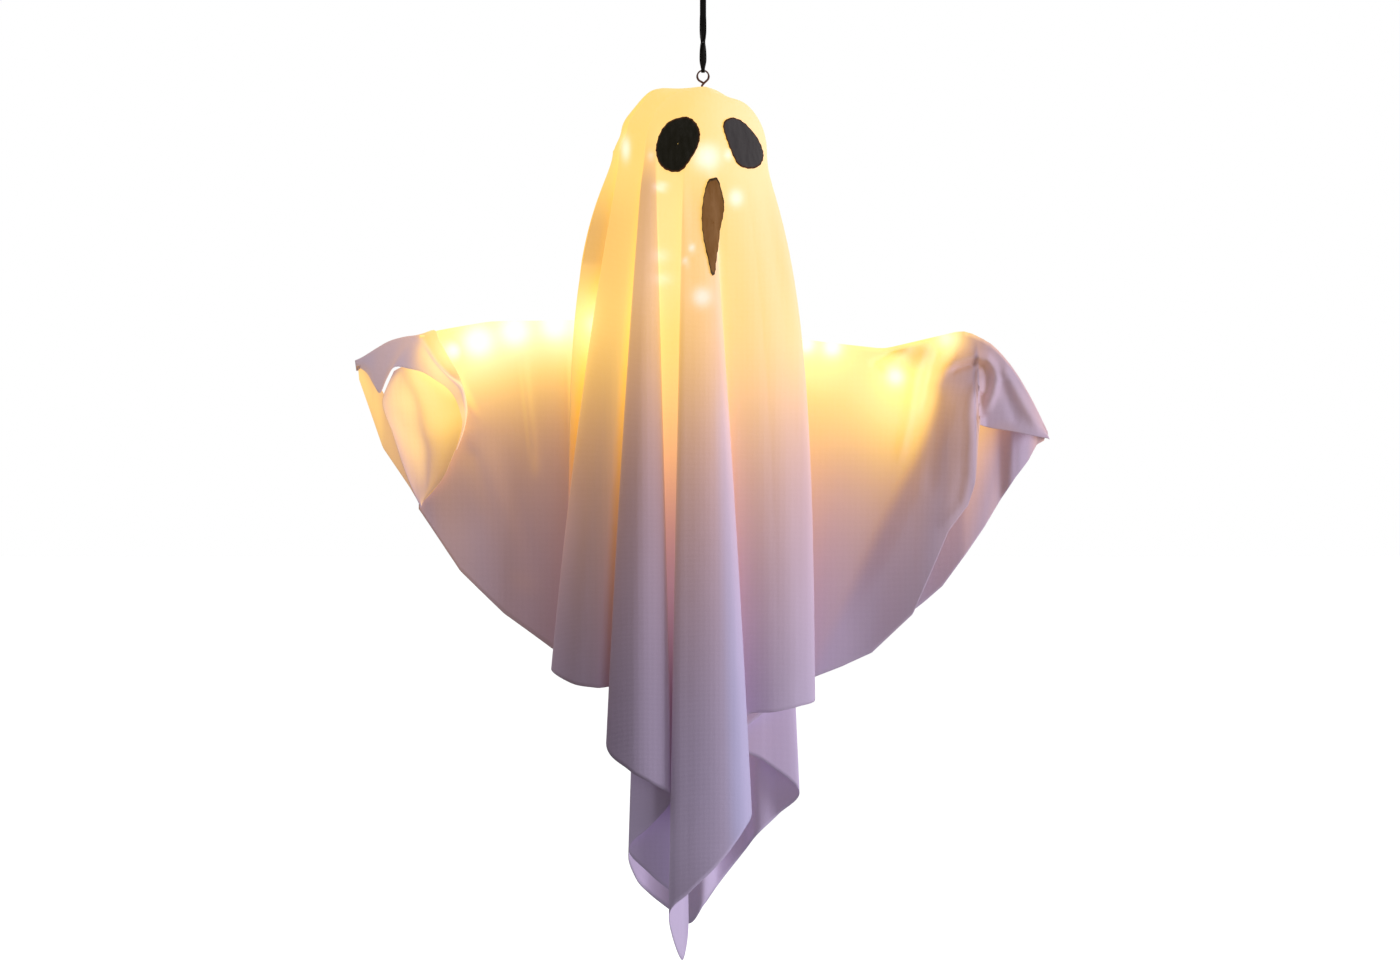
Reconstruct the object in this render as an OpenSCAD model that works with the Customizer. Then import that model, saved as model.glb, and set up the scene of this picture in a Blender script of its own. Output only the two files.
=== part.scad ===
// Hanging cloth ghost lit from inside by string lights.
// Millimetres, +Z up, the face looks along -Y. The origin is the middle of the hanging loop.

/* [Hanger] */
// Inner radius of the hanging loop
loop_bore_r = 9; // [6:0.5:14]
// Width of the ribbon
ribbon_width = 5; // [4:0.5:8]
// Thickness of the ribbon
ribbon_thickness = 0.6; // [0.4:0.1:0.8]
// Width of the ribbon where it is gathered in the ring
ribbon_gather = 3; // [2:0.5:4]
// Underside of the knot to the ring's top wire
ribbon_drop = 75.3; // [50:0.1:150]
// Half the distance between the ribbon's two strands
strand_half_gap = 0.95; // [0.8:0.05:1.5]
// Height of the knot
knot_height = 7.5; // [6:0.5:10]
// Radius of the knot
knot_r = 4.6; // [4:0.1:6]
// Length of each ribbon end below the knot
knot_tail = 11; // [6:1:20]

/* [Screw eye] */
// Diameter of the wire
eye_wire = 1.3; // [1:0.1:2]
// Radius of the ring, to the middle of its wire
eye_ring_r = 4.6; // [4:0.1:7]
// Open part of the ring, in degrees
eye_opening = 40; // [10:5:60]
// Underside of the ring to the head
eye_neck = 9.4; // [6:0.1:15]
// Radius of the thread
eye_thread_r = 1.1; // [0.8:0.1:1.5]
// Depth of the shank in the head
eye_depth = 26; // [14:1:30]

/* [Head and stem] */
// Radius of the ball in the head
ball_r = 46; // [40:1:56]
// Radius of the stem
stem_r = 4; // [3:0.5:5]
// Length of the stem inside the ball
stem_in_ball = 34; // [20:1:40]
// Head centre to shoulder centre
neck_length = 143; // [130:1:165]
// Clearance of the fixed fits, per side
fit_gap = 0.05; // [0.02:0.01:0.1]

/* [Shoulders and arms] */
// Radius of the shoulder bar
hub_r = 9; // [8:0.5:11]
// Half the length of the shoulder bar
hub_half_length = 24; // [23:1:28]
// Shoulder centre to the middle of each ball joint
pivot_offset = 17; // [16:0.5:18]
// Radius of the ball joints
pivot_ball_r = 5; // [4:0.5:6]
// Diameter of the arm wires
arm_wire = 3; // [2.5:0.1:3.5]
// Play of the arm wires in the shoulder's slots, per side
slot_gap = 0.4; // [0.3:0.1:0.6]
// Shoulder centre to the left arm's tip
left_reach = 274; // [240:1:310]
// Shoulder centre to the right arm's tip
right_reach = 272; // [240:1:310]

/* [Lights] */
// Diameter of the light strings
strand_d = 1; // [0.8:0.1:1.2]
// Radius of the beads
bead_r = 1.5; // [1.2:0.1:1.8]
// Turns of the string round the head
head_turns = 5; // [4:1:6]
// Polar angle where the winding on the head starts, in degrees
wind_start_angle = 150; // [140:1:155]
// Polar angle where the winding on the head ends, in degrees
wind_end_angle = 28; // [22:1:36]
// Turn of the winding about the head, in degrees
wind_turn_angle = -54; // [-60:1:-48]
// Pivot to the place where an arm's string comes to lie along its wire
strand_join = 31; // [28:1:36]
// End of an arm's string to the arm's tip
strand_end = 20; // [14:1:30]
// Clearance of pieces that rest on each other
rest_gap = 0.3; // [0.25:0.05:0.4]
// Width of the ties round the arm wires
tie_width = 1.4; // [1:0.1:2.5]
// Thickness of the ties
tie_wall = 0.6; // [0.4:0.1:0.8]

/* [Cloth] */
// Thickness of the cloth
cloth = 0.8; // [0.6:0.1:1]
// Half the distance between a sleeve's layers at the wire
sleeve_half = 6.2; // [5.8:0.1:8]
// How much further each layer hangs from the wire at its hem
sleeve_flare = 8; // [4:0.5:12]
// Polar angle of the opening at the crown, in degrees
crown_angle = 4; // [3:0.5:6]
// Where the arm slits start, as a share of the drop
slit_share = 0.2; // [0.18:0.01:0.22]
// Shoulder centre to the inner end of each sleeve
sleeve_inner = 52; // [48:1:58]
// Thickness of the felt
felt = 0.8; // [0.6:0.1:1.2]
// Clearance of the felt over the cloth
felt_gap = 0.9; // [0.8:0.1:1.2]
// The longest row of cloth, from the head's equator to its tip
cloth_drop = 634; // [600:1:680]

/* [Face] */
// Middle of the left eye, across and above the head's middle
left_eye_at = [-19, -1]; // [-25:0.5:5]
// Half the left eye's width and height
left_eye_half = [16, 21.5]; // [10:0.5:24]
// How far the left eye's top leans to the right, as a share of its height
left_eye_lean = 0.19; // [0:0.01:0.3]
// Middle of the right eye, across and above the head's middle
right_eye_at = [31, 1]; // [-5:0.5:32]
// Half the right eye's width and height
right_eye_half = [14.5, 20]; // [10:0.5:22]
// How far the right eye's top leans to the right, as a share of its height
right_eye_lean = -0.36; // [-0.4:0.01:0]
// Middle of the mouth, across and above the head's middle
mouth_at = [7.7, -67]; // [-75:0.1:12]
// Half the mouth's width and height
mouth_half = [8.6, 38]; // [6:0.1:40]
// How far the mouth's top leans to the right, as a share of its height
mouth_lean = 0; // [-0.1:0.01:0.1]

/* [Battery box] */
// Thickness of the box's walls
case_wall = 1.6; // [1.4:0.1:2.4]
// Height of the room for the switch below the cells
switch_room = 12.4; // [11:0.1:18]
// Room beside the cells
side_room = 1.2; // [0.8:0.1:4]
// Room behind the cells
cover_room = 2.5; // [2.2:0.1:5]
// Shoulder bar's underside to the top of the box
case_drop = 36; // [32:1:60]
// Radius of the boss that holds the stem
boss_r = 7.5; // [6.5:0.5:9]
// Height of the boss
boss_height = 14; // [10:1:18]
// Radius of a cell
battery_r = 7.15; // [7:0.05:7.3]
// Length of a cell without its nub
battery_length = 49; // [48.5:0.1:49.5]
// Height of a cell's nub
battery_nub = 1.5; // [1:0.1:2]
// Room between the cells
battery_gap = 0.9; // [0.5:0.1:2]
// Length of a pressed contact spring
spring_length = 5; // [4:0.1:7]
// Thickness of the contact plates
plate = 0.5; // [0.4:0.1:0.6]
// Play of the sliding cover and of the switch's knob, per side
cover_gap = 0.3; // [0.25:0.05:0.4]
// How far the cover's edges run in the case's grooves
tongue = 0.9; // [0.7:0.1:1.1]
// Width and depth of the switch's knob
knob = [5, 3]; // [3:0.1:6]
// How far the knob stands out
knob_out = 2.5; // [1.5:0.1:4]
// Travel of the knob
knob_travel = 4; // [3:0.1:5]
// Width, depth and height of the switch
switch_block = [15, 7, 5]; // [5:0.1:18]

/* [Hidden] */
$fn = 64;

// each row of cloth: azimuth on the head, looseness there, how early it spreads, hem x, hem y,
// drop below the head, and 1 for an edge that is closed down to the arm slit
FRONT_ROWS = [
    [-89.2, 19, 0.15, -105, -24, 398, 1], [-80, 8, 0.8, -119, -36, 410, 0], [-70, 4, 1.2, -102, -60, 421, 0],
    [-62, 1, 2, -83, -62, 424, 0], [-56, 0, 2, -63, -46, 427, 0], [-50, 0, 2, -73, -72, 462, 0],
    [-40, 0, 2, -56, -90, 485, 0], [-31, 0, 2, -39, -90, 495, 0], [-24, 0, 2, -27, -76, 507, 0],
    [-21, 0, 2, -41, -62, 528, 0], [-18, 0, 2, -56, -52, 549, 0], [-15, 0, 2, -40, -44, 570, 0],
    [-12, 0, 2, -10, -42, 596, 0], [-10, 0, 2, -16, -58, 634, 0], [-7, 0, 2, -26, -80, 596, 0],
    [-1, 0, 2, -12, -98, 577, 0], [6, 0, 2, 13, -102, 554, 0], [12, 0, 2, 31, -94, 536, 0],
    [17, 0, 2, 37, -80, 527, 0], [21, 0, 2, 23, -64, 491, 0], [25, 0, 1.5, 19, -52, 464, 0],
    [31, 0, 1, 33, -60, 445, 0], [42, 0, 0.5, 55, -74, 442, 0], [56, 0, 0.35, 73, -66, 438, 0],
    [72, 0, 0.3, 87, -44, 434, 0], [89.2, 0, 0.4, 77, -24, 424, 1]];
BACK_ROWS = [
    [90.8, 0, 0.4, 78, 24, 430, 1], [96, 0, 0.5, 40, 30, 462, 0], [102, 0, 0.5, 58, 32, 494, 0],
    [110, 0, 0.4, 77, 40, 512, 0], [120, 0, 0.5, 60, 56, 538, 0], [130, 0, 0.8, 39, 60, 556, 0],
    [142, 0, 0.8, 33, 84, 573, 0], [155, 0, 0.8, 10, 92, 602, 0], [165, 0, 0.8, -2, 78, 616, 0],
    [176, 0, 0.8, -11, 86, 633, 0], [186, 0, 0.8, -26, 98, 625, 0], [198, 0, 0.8, -43, 92, 609, 0],
    [208, 0, 0.8, -52, 76, 593, 0], [217, 0, 0.8, -59, 66, 570, 0], [225, 0, 0.8, -44, 62, 545, 0],
    [232, 2, 0.7, -52, 76, 520, 0], [241, 6, 0.6, -67, 72, 488, 0], [250, 12, 0.4, -75, 50, 456, 0],
    [260, 18, 0.2, -92, 34, 409, 0], [269.2, 19, 0.15, -106, 24, 393, 1]];
// levels along each row: -1 at the crown, 0 at the head's equator, 1 at the hem
LEVELS = [-1, -0.8, -0.55, -0.28, 0, 0.08, 0.18, 0.32, 0.5, 0.7, 0.86, 1];
// arm wires: distance from the middle, drop below the shoulder
LEFT_ARM = [[15, 0], [32, 0], [60, -3], [100, -4], [170, -3], [205, 3], [230, 8], [245, 11],
    [262, 19], [274, 30], [290, 46]];
RIGHT_ARM = [[15, 0], [32, 0], [60, 9], [100, 14], [145, 19], [175, 12], [209, 4], [230, 15],
    [246, 34], [260, 58], [272, 83], [284, 108]];
// hems of the two cloth layers over each arm, the same way
LEFT_FRONT_HEM = [[30, 276], [80, 270], [120, 254], [158, 226], [193, 192], [212, 168], [225, 140],
    [238, 116], [247, 82], [258, 54], [264, 38], [278, 40]];
LEFT_BACK_HEM = [[30, 276], [80, 270], [120, 254], [158, 226], [193, 192], [226, 145], [236, 126], [258, 94],
    [278, 40]];
RIGHT_FRONT_HEM = [[30, 284], [89, 276], [110, 268], [134, 257], [166, 226], [194, 160], [209, 140],
    [215, 122], [219, 92], [226, 80], [250, 85], [275, 97]];
RIGHT_BACK_HEM = [[30, 284], [89, 276], [110, 268], [134, 257], [166, 227], [193, 202], [211, 177],
    [226, 155], [238, 135], [251, 116], [265, 105], [275, 100]];
// slack of each arm's light string below its wire
LEFT_SLACK = [[120, 0], [150, 4], [179, 11], [199, 16], [215, 9], [230, 0]];
RIGHT_SLACK = [[112, 0], [135, 8], [154, 21], [167, 31], [180, 14], [192, 0]];
// where the beads sit along the winding on the head, as shares of it
HEAD_BEADS = [0.03, 0.08, 0.146, 0.206, 0.28, 0.344, 0.3814, 0.395, 0.45, 0.53, 0.64, 0.69, 0.85, 0.92];
// the string's loop under the head, on a ball of 46: x, y and the drop below the ball's middle
DROOP = [[4, -30, 128], [-0.8, -56, 116], [-9, -46, 100], [-12, -42, 88],
    [-8, -42, 77], [0, -31, 57], [6, -25, 46]];
DROOP_BEADS = [1, 3, 4];
LEFT_BEADS = [92, 118, 150, 179, 199];
RIGHT_BEADS = [82, 103, 154, 167, 196];
LEFT_TIES = [62, 106, 238];
RIGHT_TIES = [62, 96, 200];

battery_pitch = 2 * battery_r + battery_gap;
inner_height = battery_length + battery_nub + spring_length + 2 * plate + rest_gap;
case_width = 3 * battery_pitch + 2 * case_wall + side_room;
case_depth = 2 * battery_r + 2 * case_wall + cover_room;
case_height = inner_height + 3 * case_wall + switch_room;
z_knot = -(loop_bore_r + ribbon_thickness + knot_height);
z_eye_top = z_knot - ribbon_drop;
z_ring = z_eye_top - eye_ring_r;
z_head = z_ring - eye_ring_r - eye_neck - ball_r;
z_hub = z_head - neck_length;
z_case = z_hub - hub_r - case_drop;
bead_out = ball_r + bead_r + rest_gap / 3;
// the sheet runs straight between its levels, so it stands off the beads a little more
level_step = 0.27 * (90 - crown_angle);
cloth_r = (bead_out + bead_r + rest_gap + cloth / 2) / cos(level_step / 2);
cloth_scale = cloth_drop / 634;
head_scale = ball_r / 46;
left_scale = left_reach / 274;
right_scale = right_reach / 272;
lead_rise = 8;
lead_gap = 3;
lead_y = -(hub_r + strand_d / 2 + 1.5);
strand_y = -(arm_wire / 2 + strand_d / 2 + rest_gap);
shelf_z = z_case - case_wall - inner_height;
battery_y = -case_depth / 2 + case_wall + battery_r + rest_gap;
cover_y = case_depth / 2 - case_wall;
tie_bore = (arm_wire + strand_d + rest_gap) / 2 + rest_gap;

function unit(v) = v / norm(v);
function smooth01(t) = let (c = min(1, max(0, t))) c * c * (3 - 2 * c);
function ease(a, b, c, d, t) = 0.5 * ((2 * b) + (c - a) * t + (2 * a - 5 * b + 4 * c - d) * t * t
    + (3 * b - a - 3 * c + d) * t * t * t);
function row_at(rows, u) = let (n = len(rows) - 1, i = max(0, min(floor(u), n - 1)))
    ease(rows[max(i - 1, 0)], rows[i], rows[i + 1], rows[min(i + 2, n)], u - i);
function smooth_path(pts, n) = concat([for (i = [0:len(pts) - 2], k = [0:n - 1]) row_at(pts, i + k / n)],
    [pts[len(pts) - 1]]);
function volume(p, f) = sum([for (t = f) cross(p[t[0]], p[t[1]]) * p[t[2]]]) / 6;
function sum(v, i = 0, total = 0) = i == len(v) ? total : sum(v, i + 1, total + v[i]);

// a closed solid, whichever way its triangles were listed
module faceted(p, f) {
    polyhedron(p, volume(p, f) < 0 ? f : [for (t = f) [t[0], t[2], t[1]]]);
}

function tangent(p, i) = unit(p[min(i + 1, len(p) - 1)] - p[max(i - 1, 0)]);
function ring_about(c, t, ref, r, sides) = let (a = unit(cross(t, ref)), b = cross(a, t))
    [for (k = [0:sides - 1]) c + r * (cos(360 * k / sides) * a + sin(360 * k / sides) * b)];
function loft_faces(rings, sides) = concat(
    [for (i = [0:rings - 2], k = [0:sides - 1]) each
        let (a = i * sides, b = a + sides, m = (k + 1) % sides)
        [[a + k, b + k, b + m], [a + k, b + m, a + m]]],
    [for (k = [1:sides - 2]) [0, k, k + 1]],
    [for (k = [1:sides - 2]) [(rings - 1) * sides, (rings - 1) * sides + k + 1, (rings - 1) * sides + k]]);

// a round tube along points, each ring turned to face the way that ref gives
module tube(p, refs, d, sides) {
    many = is_list(refs[0]);
    rings = [for (i = [0:len(p) - 1]) each
        ring_about(p[i], tangent(p, i), many ? refs[i] : refs, d / 2, sides)];
    faceted(rings, loft_faces(len(p), sides));
}

function grid_at(g, i, j) = g[max(0, min(len(g) - 1, i))][max(0, min(len(g[0]) - 1, j))];
function grid_normal(g, i, j) = unit(cross(grid_at(g, i + 1, j) - grid_at(g, i - 1, j),
    grid_at(g, i, j + 1) - grid_at(g, i, j - 1)));

// a thin closed sheet either side of a grid of points
module sheet(g, t) {
    m = len(g[0]);
    last = len(g) - 1;
    n = len(g) * m;
    p = [for (side = [1, -1], i = [0:last], j = [0:m - 1]) g[i][j] + side * t / 2 * grid_normal(g, i, j)];
    skin = [for (i = [0:last - 1], j = [0:m - 2]) each let (a = i * m + j, b = a + m)
        [[a, b, b + 1], [a, b + 1, a + 1], [a + n, b + 1 + n, b + n], [a + n, a + 1 + n, b + 1 + n]]];
    ends = [for (i = [0:last - 1]) each let (a = i * m, b = a + m, d = a + m - 1, c = d + m)
        [[b, a, a + n], [b, a + n, b + n], [d, c, c + n], [d, c + n, d + n]]];
    sides = [for (j = [0:m - 2]) each let (a = j, d = j + 1, b = last * m + j, c = b + 1)
        [[a, d, d + n], [a, d + n, a + n], [c, b, b + n], [c, b + n, c + n]]];
    faceted(p, concat(skin, ends, sides));
}

function spread(s, reach) = (1 - exp(-s / reach)) / (1 - exp(-1 / reach));
function drape_point(row, v) =
    let (r = cloth_r + cloth_scale * row[1], x = r * sin(row[0]), y = -r * cos(row[0]))
    v < 0 ? let (b = crown_angle + (90 - crown_angle) * (1 + v))
        [x * sin(b), y * sin(b), z_head + cloth_r * cos(b)]
    : let (f = spread(v, row[2]), g = f + row[6] * (slit(v) - f), hem = cloth_scale * row)
        [x + (hem[3] - x) * f, y + (hem[4] - y) * g, z_head - hem[5] * v];
function slit(v) = v < slit_share ? 0 : spread((v - slit_share) / (1 - slit_share), 0.12);
function drape_at(row, z) = z < z_head ? drape_point(row, (z_head - z) / (cloth_scale * row[5]))
    : drape_point(row, (acos(min(1, (z - z_head) / cloth_r)) - crown_angle) / (90 - crown_angle) - 1);
function find_row(rows, x, z, low, high, n) = let (m = (low + high) / 2)
    n == 0 ? m : drape_at(row_at(rows, m), z)[0] < x ? find_row(rows, x, z, m, high, n - 1)
    : find_row(rows, x, z, low, m, n - 1);
function on_front(x, z) = drape_at(row_at(FRONT_ROWS, find_row(FRONT_ROWS, x, z, 3, 23, 14)), z);
function drape_grid(rows, step) = [for (u = [0:step:len(rows) - 1])
    let (row = row_at(rows, u)) [for (v = LEVELS) drape_point(row, v)]];

function arm_scale(side) = side < 0 ? left_scale : right_scale;
function drop_at(side, d, table) = let (k = arm_scale(side)) k * lookup(d / k, table);
function soft_drop(side, d, table) = (drop_at(side, d - 6, table) + 2 * drop_at(side, d, table)
    + drop_at(side, d + 6, table)) / 4;
// the cloth keeps its distance from the wire, on a slope too
function slope(side, d, table) = (soft_drop(side, d + 3, table) - soft_drop(side, d - 3, table)) / 6;
function crest(side, d, arm) = z_hub - soft_drop(side, d, arm)
    + (tie_bore + tie_wall + rest_gap + cloth / 2) * sqrt(1 + pow(slope(side, d, arm), 2));
crest_depth = 4;
LEG = [1, 0.8, 0.6, 0.4, 0.2, 0];
function leg_point(side, d, top, hem, t, face, fold) =
    let (out = sleeve_half + sleeve_flare * t + fold * t * sin(360 * (d / 90 + t / 3)))
    [side * d, face * out, top + (hem - top) * t];
function sleeve_column(side, d, arm, front, back, fold) = let (c = crest(side, d, arm), top = c - crest_depth,
    f = min(z_hub - drop_at(side, d, front), top - 3),
    b = min(z_hub - drop_at(side, d, back), top - 3)) concat(
    [for (t = LEG) leg_point(side, d, top, f, t, -1, fold)],
    [[side * d, -sleeve_half * 0.6, c], [side * d, sleeve_half * 0.6, c]],
    [for (k = [5:-1:0]) leg_point(side, d, top, b, LEG[k], 1, fold)]);
function sleeve_stations(end) = [for (k = [0:25]) sleeve_inner + (end - sleeve_inner) * k / 25];
module sleeve(side, arm, front, back, reach, fold) {
    sheet([for (d = sleeve_stations(reach + 3)) sleeve_column(side, d, arm, front, back, fold)], cloth);
}

function arm_points(side, arm, reach) = concat([[side * (pivot_offset - 2), 0, z_hub]],
    [for (k = [0:32]) let (d = pivot_offset + 4 + (reach - pivot_offset - 4) * k / 32)
        [side * d, 0, z_hub - soft_drop(side, d, arm)]]);
function slack_at(side, d, slack) = let (s = d / arm_scale(side))
    s < slack[0][0] || s > slack[len(slack) - 1][0] ? 0 : soft_drop(side, d, slack);
function strand_point(side, d, arm, slack) =
    [side * d, strand_y, z_hub - soft_drop(side, d, arm) - slack_at(side, d, slack)];
strand_in = pivot_offset + strand_join;
function arm_strand(side, arm, slack, reach) = concat(
    smooth_path([[side * pivot_offset, lead_y, z_hub + 0.25], [side * (pivot_offset + 2), lead_y, z_hub + 4],
        [side * (pivot_offset + 11), lead_y, z_hub + 4],
        [side * (pivot_offset + 20), lead_y / 2, z_hub + 2]], 3),
    [for (k = [0:36]) strand_point(side, strand_in + (reach - strand_end - strand_in) * k / 36, arm, slack)]);
function lead(side) = smooth_path([
    [side * pivot_offset, 0, z_case + 1], [side * pivot_offset, 0, z_case + lead_rise],
    [side * pivot_offset, lead_y, z_hub - hub_r - lead_rise], [side * pivot_offset, lead_y, z_hub - 6],
    [side * pivot_offset, lead_y, z_hub - 0.25]], 4);

droop = [for (p = DROOP) head_scale * [p[0], p[1], -p[2]] + [0, 0, z_head]];
head_lead = smooth_path(concat([
    [0.26 * case_width, case_depth / 4, z_case + 1], [0.26 * case_width, case_depth / 4, z_case + lead_rise],
    [hub_r + 1, hub_r + lead_gap, z_hub - hub_r - 6], [hub_r - 1, hub_r + lead_gap, z_hub + hub_r],
    [stem_r + 1.5, lead_gap, z_hub + hub_r + 14]], droop), 4);
loop_points = 24;
// the tube runs straight between its rings, so they stand off the ball a little more
wind_r = (ball_r + strand_d / 2 + rest_gap / 3) / cos(180 / loop_points);
function wind_point(t, r) = let (a = wind_turn_angle + 360 * head_turns * t,
    b = wind_start_angle + (wind_end_angle - wind_start_angle) * t)
    [r * sin(b) * cos(a), r * sin(b) * sin(a), z_head + r * cos(b)];
head_wind = [for (k = [0:loop_points * head_turns]) wind_point(k / (loop_points * head_turns), wind_r)];
head_path = concat(head_lead, head_wind);
// directions across the path that turn as little as they can from point to point
function across(a, t) = unit(a - (a * t) * t);
head_refs = [for (i = 0, a = [1, 0, 0]; i < len(head_path);
    i = i + 1, a = across(a, tangent(head_path, i))) a];
half_turn = loop_points / 2;
wind_last = len(head_wind) - 1;
echo(least_gap_in_head_winding = min([for (i = [0:wind_last - half_turn], j = [i + half_turn:wind_last])
    norm(head_wind[i] - head_wind[j])]) - strand_d);

module hang_loop() {
    color([0.06, 0.06, 0.07]) rotate([0, 90, 0]) rotate_extrude()
        translate([loop_bore_r, -ribbon_width / 2]) square([ribbon_thickness, ribbon_width]);
}

module hang_knot() {
    color([0.06, 0.06, 0.07]) {
        difference() {
            union() {
                translate([0, 0, z_knot]) cylinder(r = knot_r * 0.75, h = knot_height + ribbon_thickness);
                translate([0, 0, z_knot + knot_height / 2]) rotate_extrude()
                    translate([knot_r * 0.6, 0]) circle(r = knot_r * 0.4);
            }
            rotate([0, 90, 0]) cylinder(r = loop_bore_r + ribbon_thickness, h = 4 * knot_r, center = true);
        }
        for (side = [-1, 1])
            translate([side * knot_r * 0.8, 0, z_knot + knot_height / 2]) rotate([0, 90 + side * 50, 0])
                translate([-ribbon_width / 2 * 0.7, -ribbon_thickness / 2, side > 0 ? 0 : -knot_tail])
                    cube([ribbon_width * 0.7, ribbon_thickness, knot_tail]);
    }
}

ring_sag = eye_ring_r - sqrt(eye_ring_r * eye_ring_r - ribbon_gather * ribbon_gather / 4);
turn_r = eye_wire / 2 + rest_gap + ring_sag + ribbon_thickness / 2;
function ribbon_turn(h) = 180 * smooth01((h - 1) / (0.66 * ribbon_drop));
function ribbon_gap(h) = turn_r + (strand_half_gap - turn_r) * smooth01(h / 15);
function ribbon_half(h) = (ribbon_gather + (ribbon_width - ribbon_gather) * smooth01(h / 9)) / 2;
function ribbon_ring(c, across, out) = let (o = out * ribbon_thickness / 2)
    [c + across - o, c + across + o, c - across + o, c - across - o];
function ribbon_strand(h, face) =
    let (a = ribbon_turn(h), w = [cos(a), sin(a), 0], t = face * [-sin(a), cos(a), 0])
    ribbon_ring(t * ribbon_gap(h) + [0, 0, z_eye_top + h], w * ribbon_half(h), t);
module hang_ribbon() {
    n = 30;
    heights = [for (k = [0:n]) ribbon_drop * k / n];
    rings = concat(
        [for (k = [n:-1:0]) each ribbon_strand(heights[k], 1)],
        [for (q = [30:30:150]) each ribbon_ring([0, turn_r * cos(q), z_eye_top - turn_r * sin(q)],
            [ribbon_gather / 2, 0, 0], [0, cos(q), -sin(q)])],
        [for (k = [0:n]) each ribbon_strand(heights[k], -1)]);
    color([0.05, 0.05, 0.06]) faceted(rings, loft_faces(len(rings) / 4, 4));
}

module screw_eye() {
    color([0.45, 0.24, 0.14]) {
        translate([0, 0, z_ring]) rotate([90, 0, 0]) rotate([0, 0, -90 + eye_opening])
            rotate_extrude(angle = 360 - eye_opening) translate([eye_ring_r, 0]) circle(d = eye_wire);
        translate([0, 0, z_ring - eye_ring_r]) sphere(d = eye_wire * 1.2);
        translate([0, 0, z_head + ball_r - eye_depth]) cylinder(d = eye_wire, h = eye_depth + eye_neck);
        translate([0, 0, z_head + ball_r - eye_depth]) cylinder(r1 = eye_wire / 2, r2 = eye_thread_r, h = 5);
        translate([0, 0, z_head + ball_r - eye_depth + 5]) cylinder(r = eye_thread_r, h = eye_depth - 6);
    }
}

module head_ball() {
    color([0.93, 0.93, 0.9]) difference() {
        translate([0, 0, z_head]) sphere(r = ball_r);
        translate([0, 0, z_head - ball_r - 1]) cylinder(r = stem_r + fit_gap, h = stem_in_ball + 1);
        translate([0, 0, z_head + ball_r - eye_depth])
            cylinder(r = eye_thread_r + fit_gap, h = eye_depth + 1);
    }
}

module stem() {
    top = z_head - ball_r + stem_in_ball;
    color([0.76, 0.6, 0.4]) translate([0, 0, z_case]) cylinder(r = stem_r, h = top - z_case);
}

module shoulder_hub() {
    socket_r = pivot_ball_r + fit_gap;
    slot = arm_wire + 2 * slot_gap;
    color([0.85, 0.85, 0.83]) translate([0, 0, z_hub]) difference() {
        rotate([0, 90, 0]) cylinder(r = hub_r, h = 2 * hub_half_length, center = true);
        translate([0, 0, -hub_r - 1]) cylinder(r = stem_r + fit_gap, h = 2 * hub_r + 2);
        for (side = [-1, 1]) {
            translate([side * pivot_offset, 0, 0]) rotate([0, 0, 90 - 90 * side]) sphere(r = socket_r);
            translate([side * (pivot_offset + hub_half_length / 2), 0, 0])
                cube([hub_half_length, slot, 2 * hub_r + 2], center = true);
        }
    }
}

module arm_ball(side) {
    color([0.8, 0.8, 0.78]) translate([side * pivot_offset, 0, z_hub]) rotate([0, 0, 90 - 90 * side])
        difference() {
            sphere(r = pivot_ball_r);
            rotate([0, 90, 0]) translate([0, 0, -2])
                cylinder(d = arm_wire + 2 * fit_gap, h = pivot_ball_r + 4);
        }
}

module left_arm_ball() {
    arm_ball(-1);
}

module right_arm_ball() {
    arm_ball(1);
}

module left_arm_wire() {
    color([0.55, 0.56, 0.58]) tube(arm_points(-1, LEFT_ARM, left_reach), [0, 1, 0], arm_wire, 8);
}

module right_arm_wire() {
    color([0.55, 0.56, 0.58]) tube(arm_points(1, RIGHT_ARM, right_reach), [0, 1, 0], arm_wire, 8);
}

module front_drape() {
    color([0.87, 0.84, 0.9]) sheet(drape_grid(FRONT_ROWS, 0.5), cloth);
}

module back_drape() {
    color([0.83, 0.8, 0.87]) sheet(drape_grid(BACK_ROWS, 0.5), cloth);
}

module left_sleeve() {
    color([0.86, 0.82, 0.88]) sleeve(-1, LEFT_ARM, LEFT_FRONT_HEM, LEFT_BACK_HEM, left_reach, 2);
}

module right_sleeve() {
    color([0.86, 0.82, 0.88]) sleeve(1, RIGHT_ARM, RIGHT_FRONT_HEM, RIGHT_BACK_HEM, right_reach, 4);
}

// felt on the cloth: its middle, half its width and height, how far its top leans, and its outline
module felt_patch(at, half, lean, outline) {
    g = [for (k = [-1, -0.6, -0.2, 0.2, 0.6, 1]) [for (m = outline)
        on_front(head_scale * (at[0] + lean * half[1] * m[0] + k * half[0] * m[1]),
            z_head + head_scale * (at[1] + half[1] * m[0]))]];
    lift = cloth / 2 + felt_gap + felt / 2;
    out = [for (i = [0:len(g) - 1]) [for (j = [0:len(g[0]) - 1]) let (n = grid_normal(g, i, j))
        g[i][j] + (n[1] < 0 ? lift : -lift) * n]];
    sheet(out, felt);
}
function egg(bulge) = [for (a = [90:-20:-90]) [sin(a), max(0.12, cos(a) * (1 + bulge * sin(a)))]];

module left_eye() {
    color([0.03, 0.03, 0.03]) felt_patch(left_eye_at, left_eye_half, left_eye_lean, egg(0.05));
}

module right_eye() {
    color([0.03, 0.03, 0.03]) felt_patch(right_eye_at, right_eye_half, right_eye_lean, egg(-0.1));
}

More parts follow.
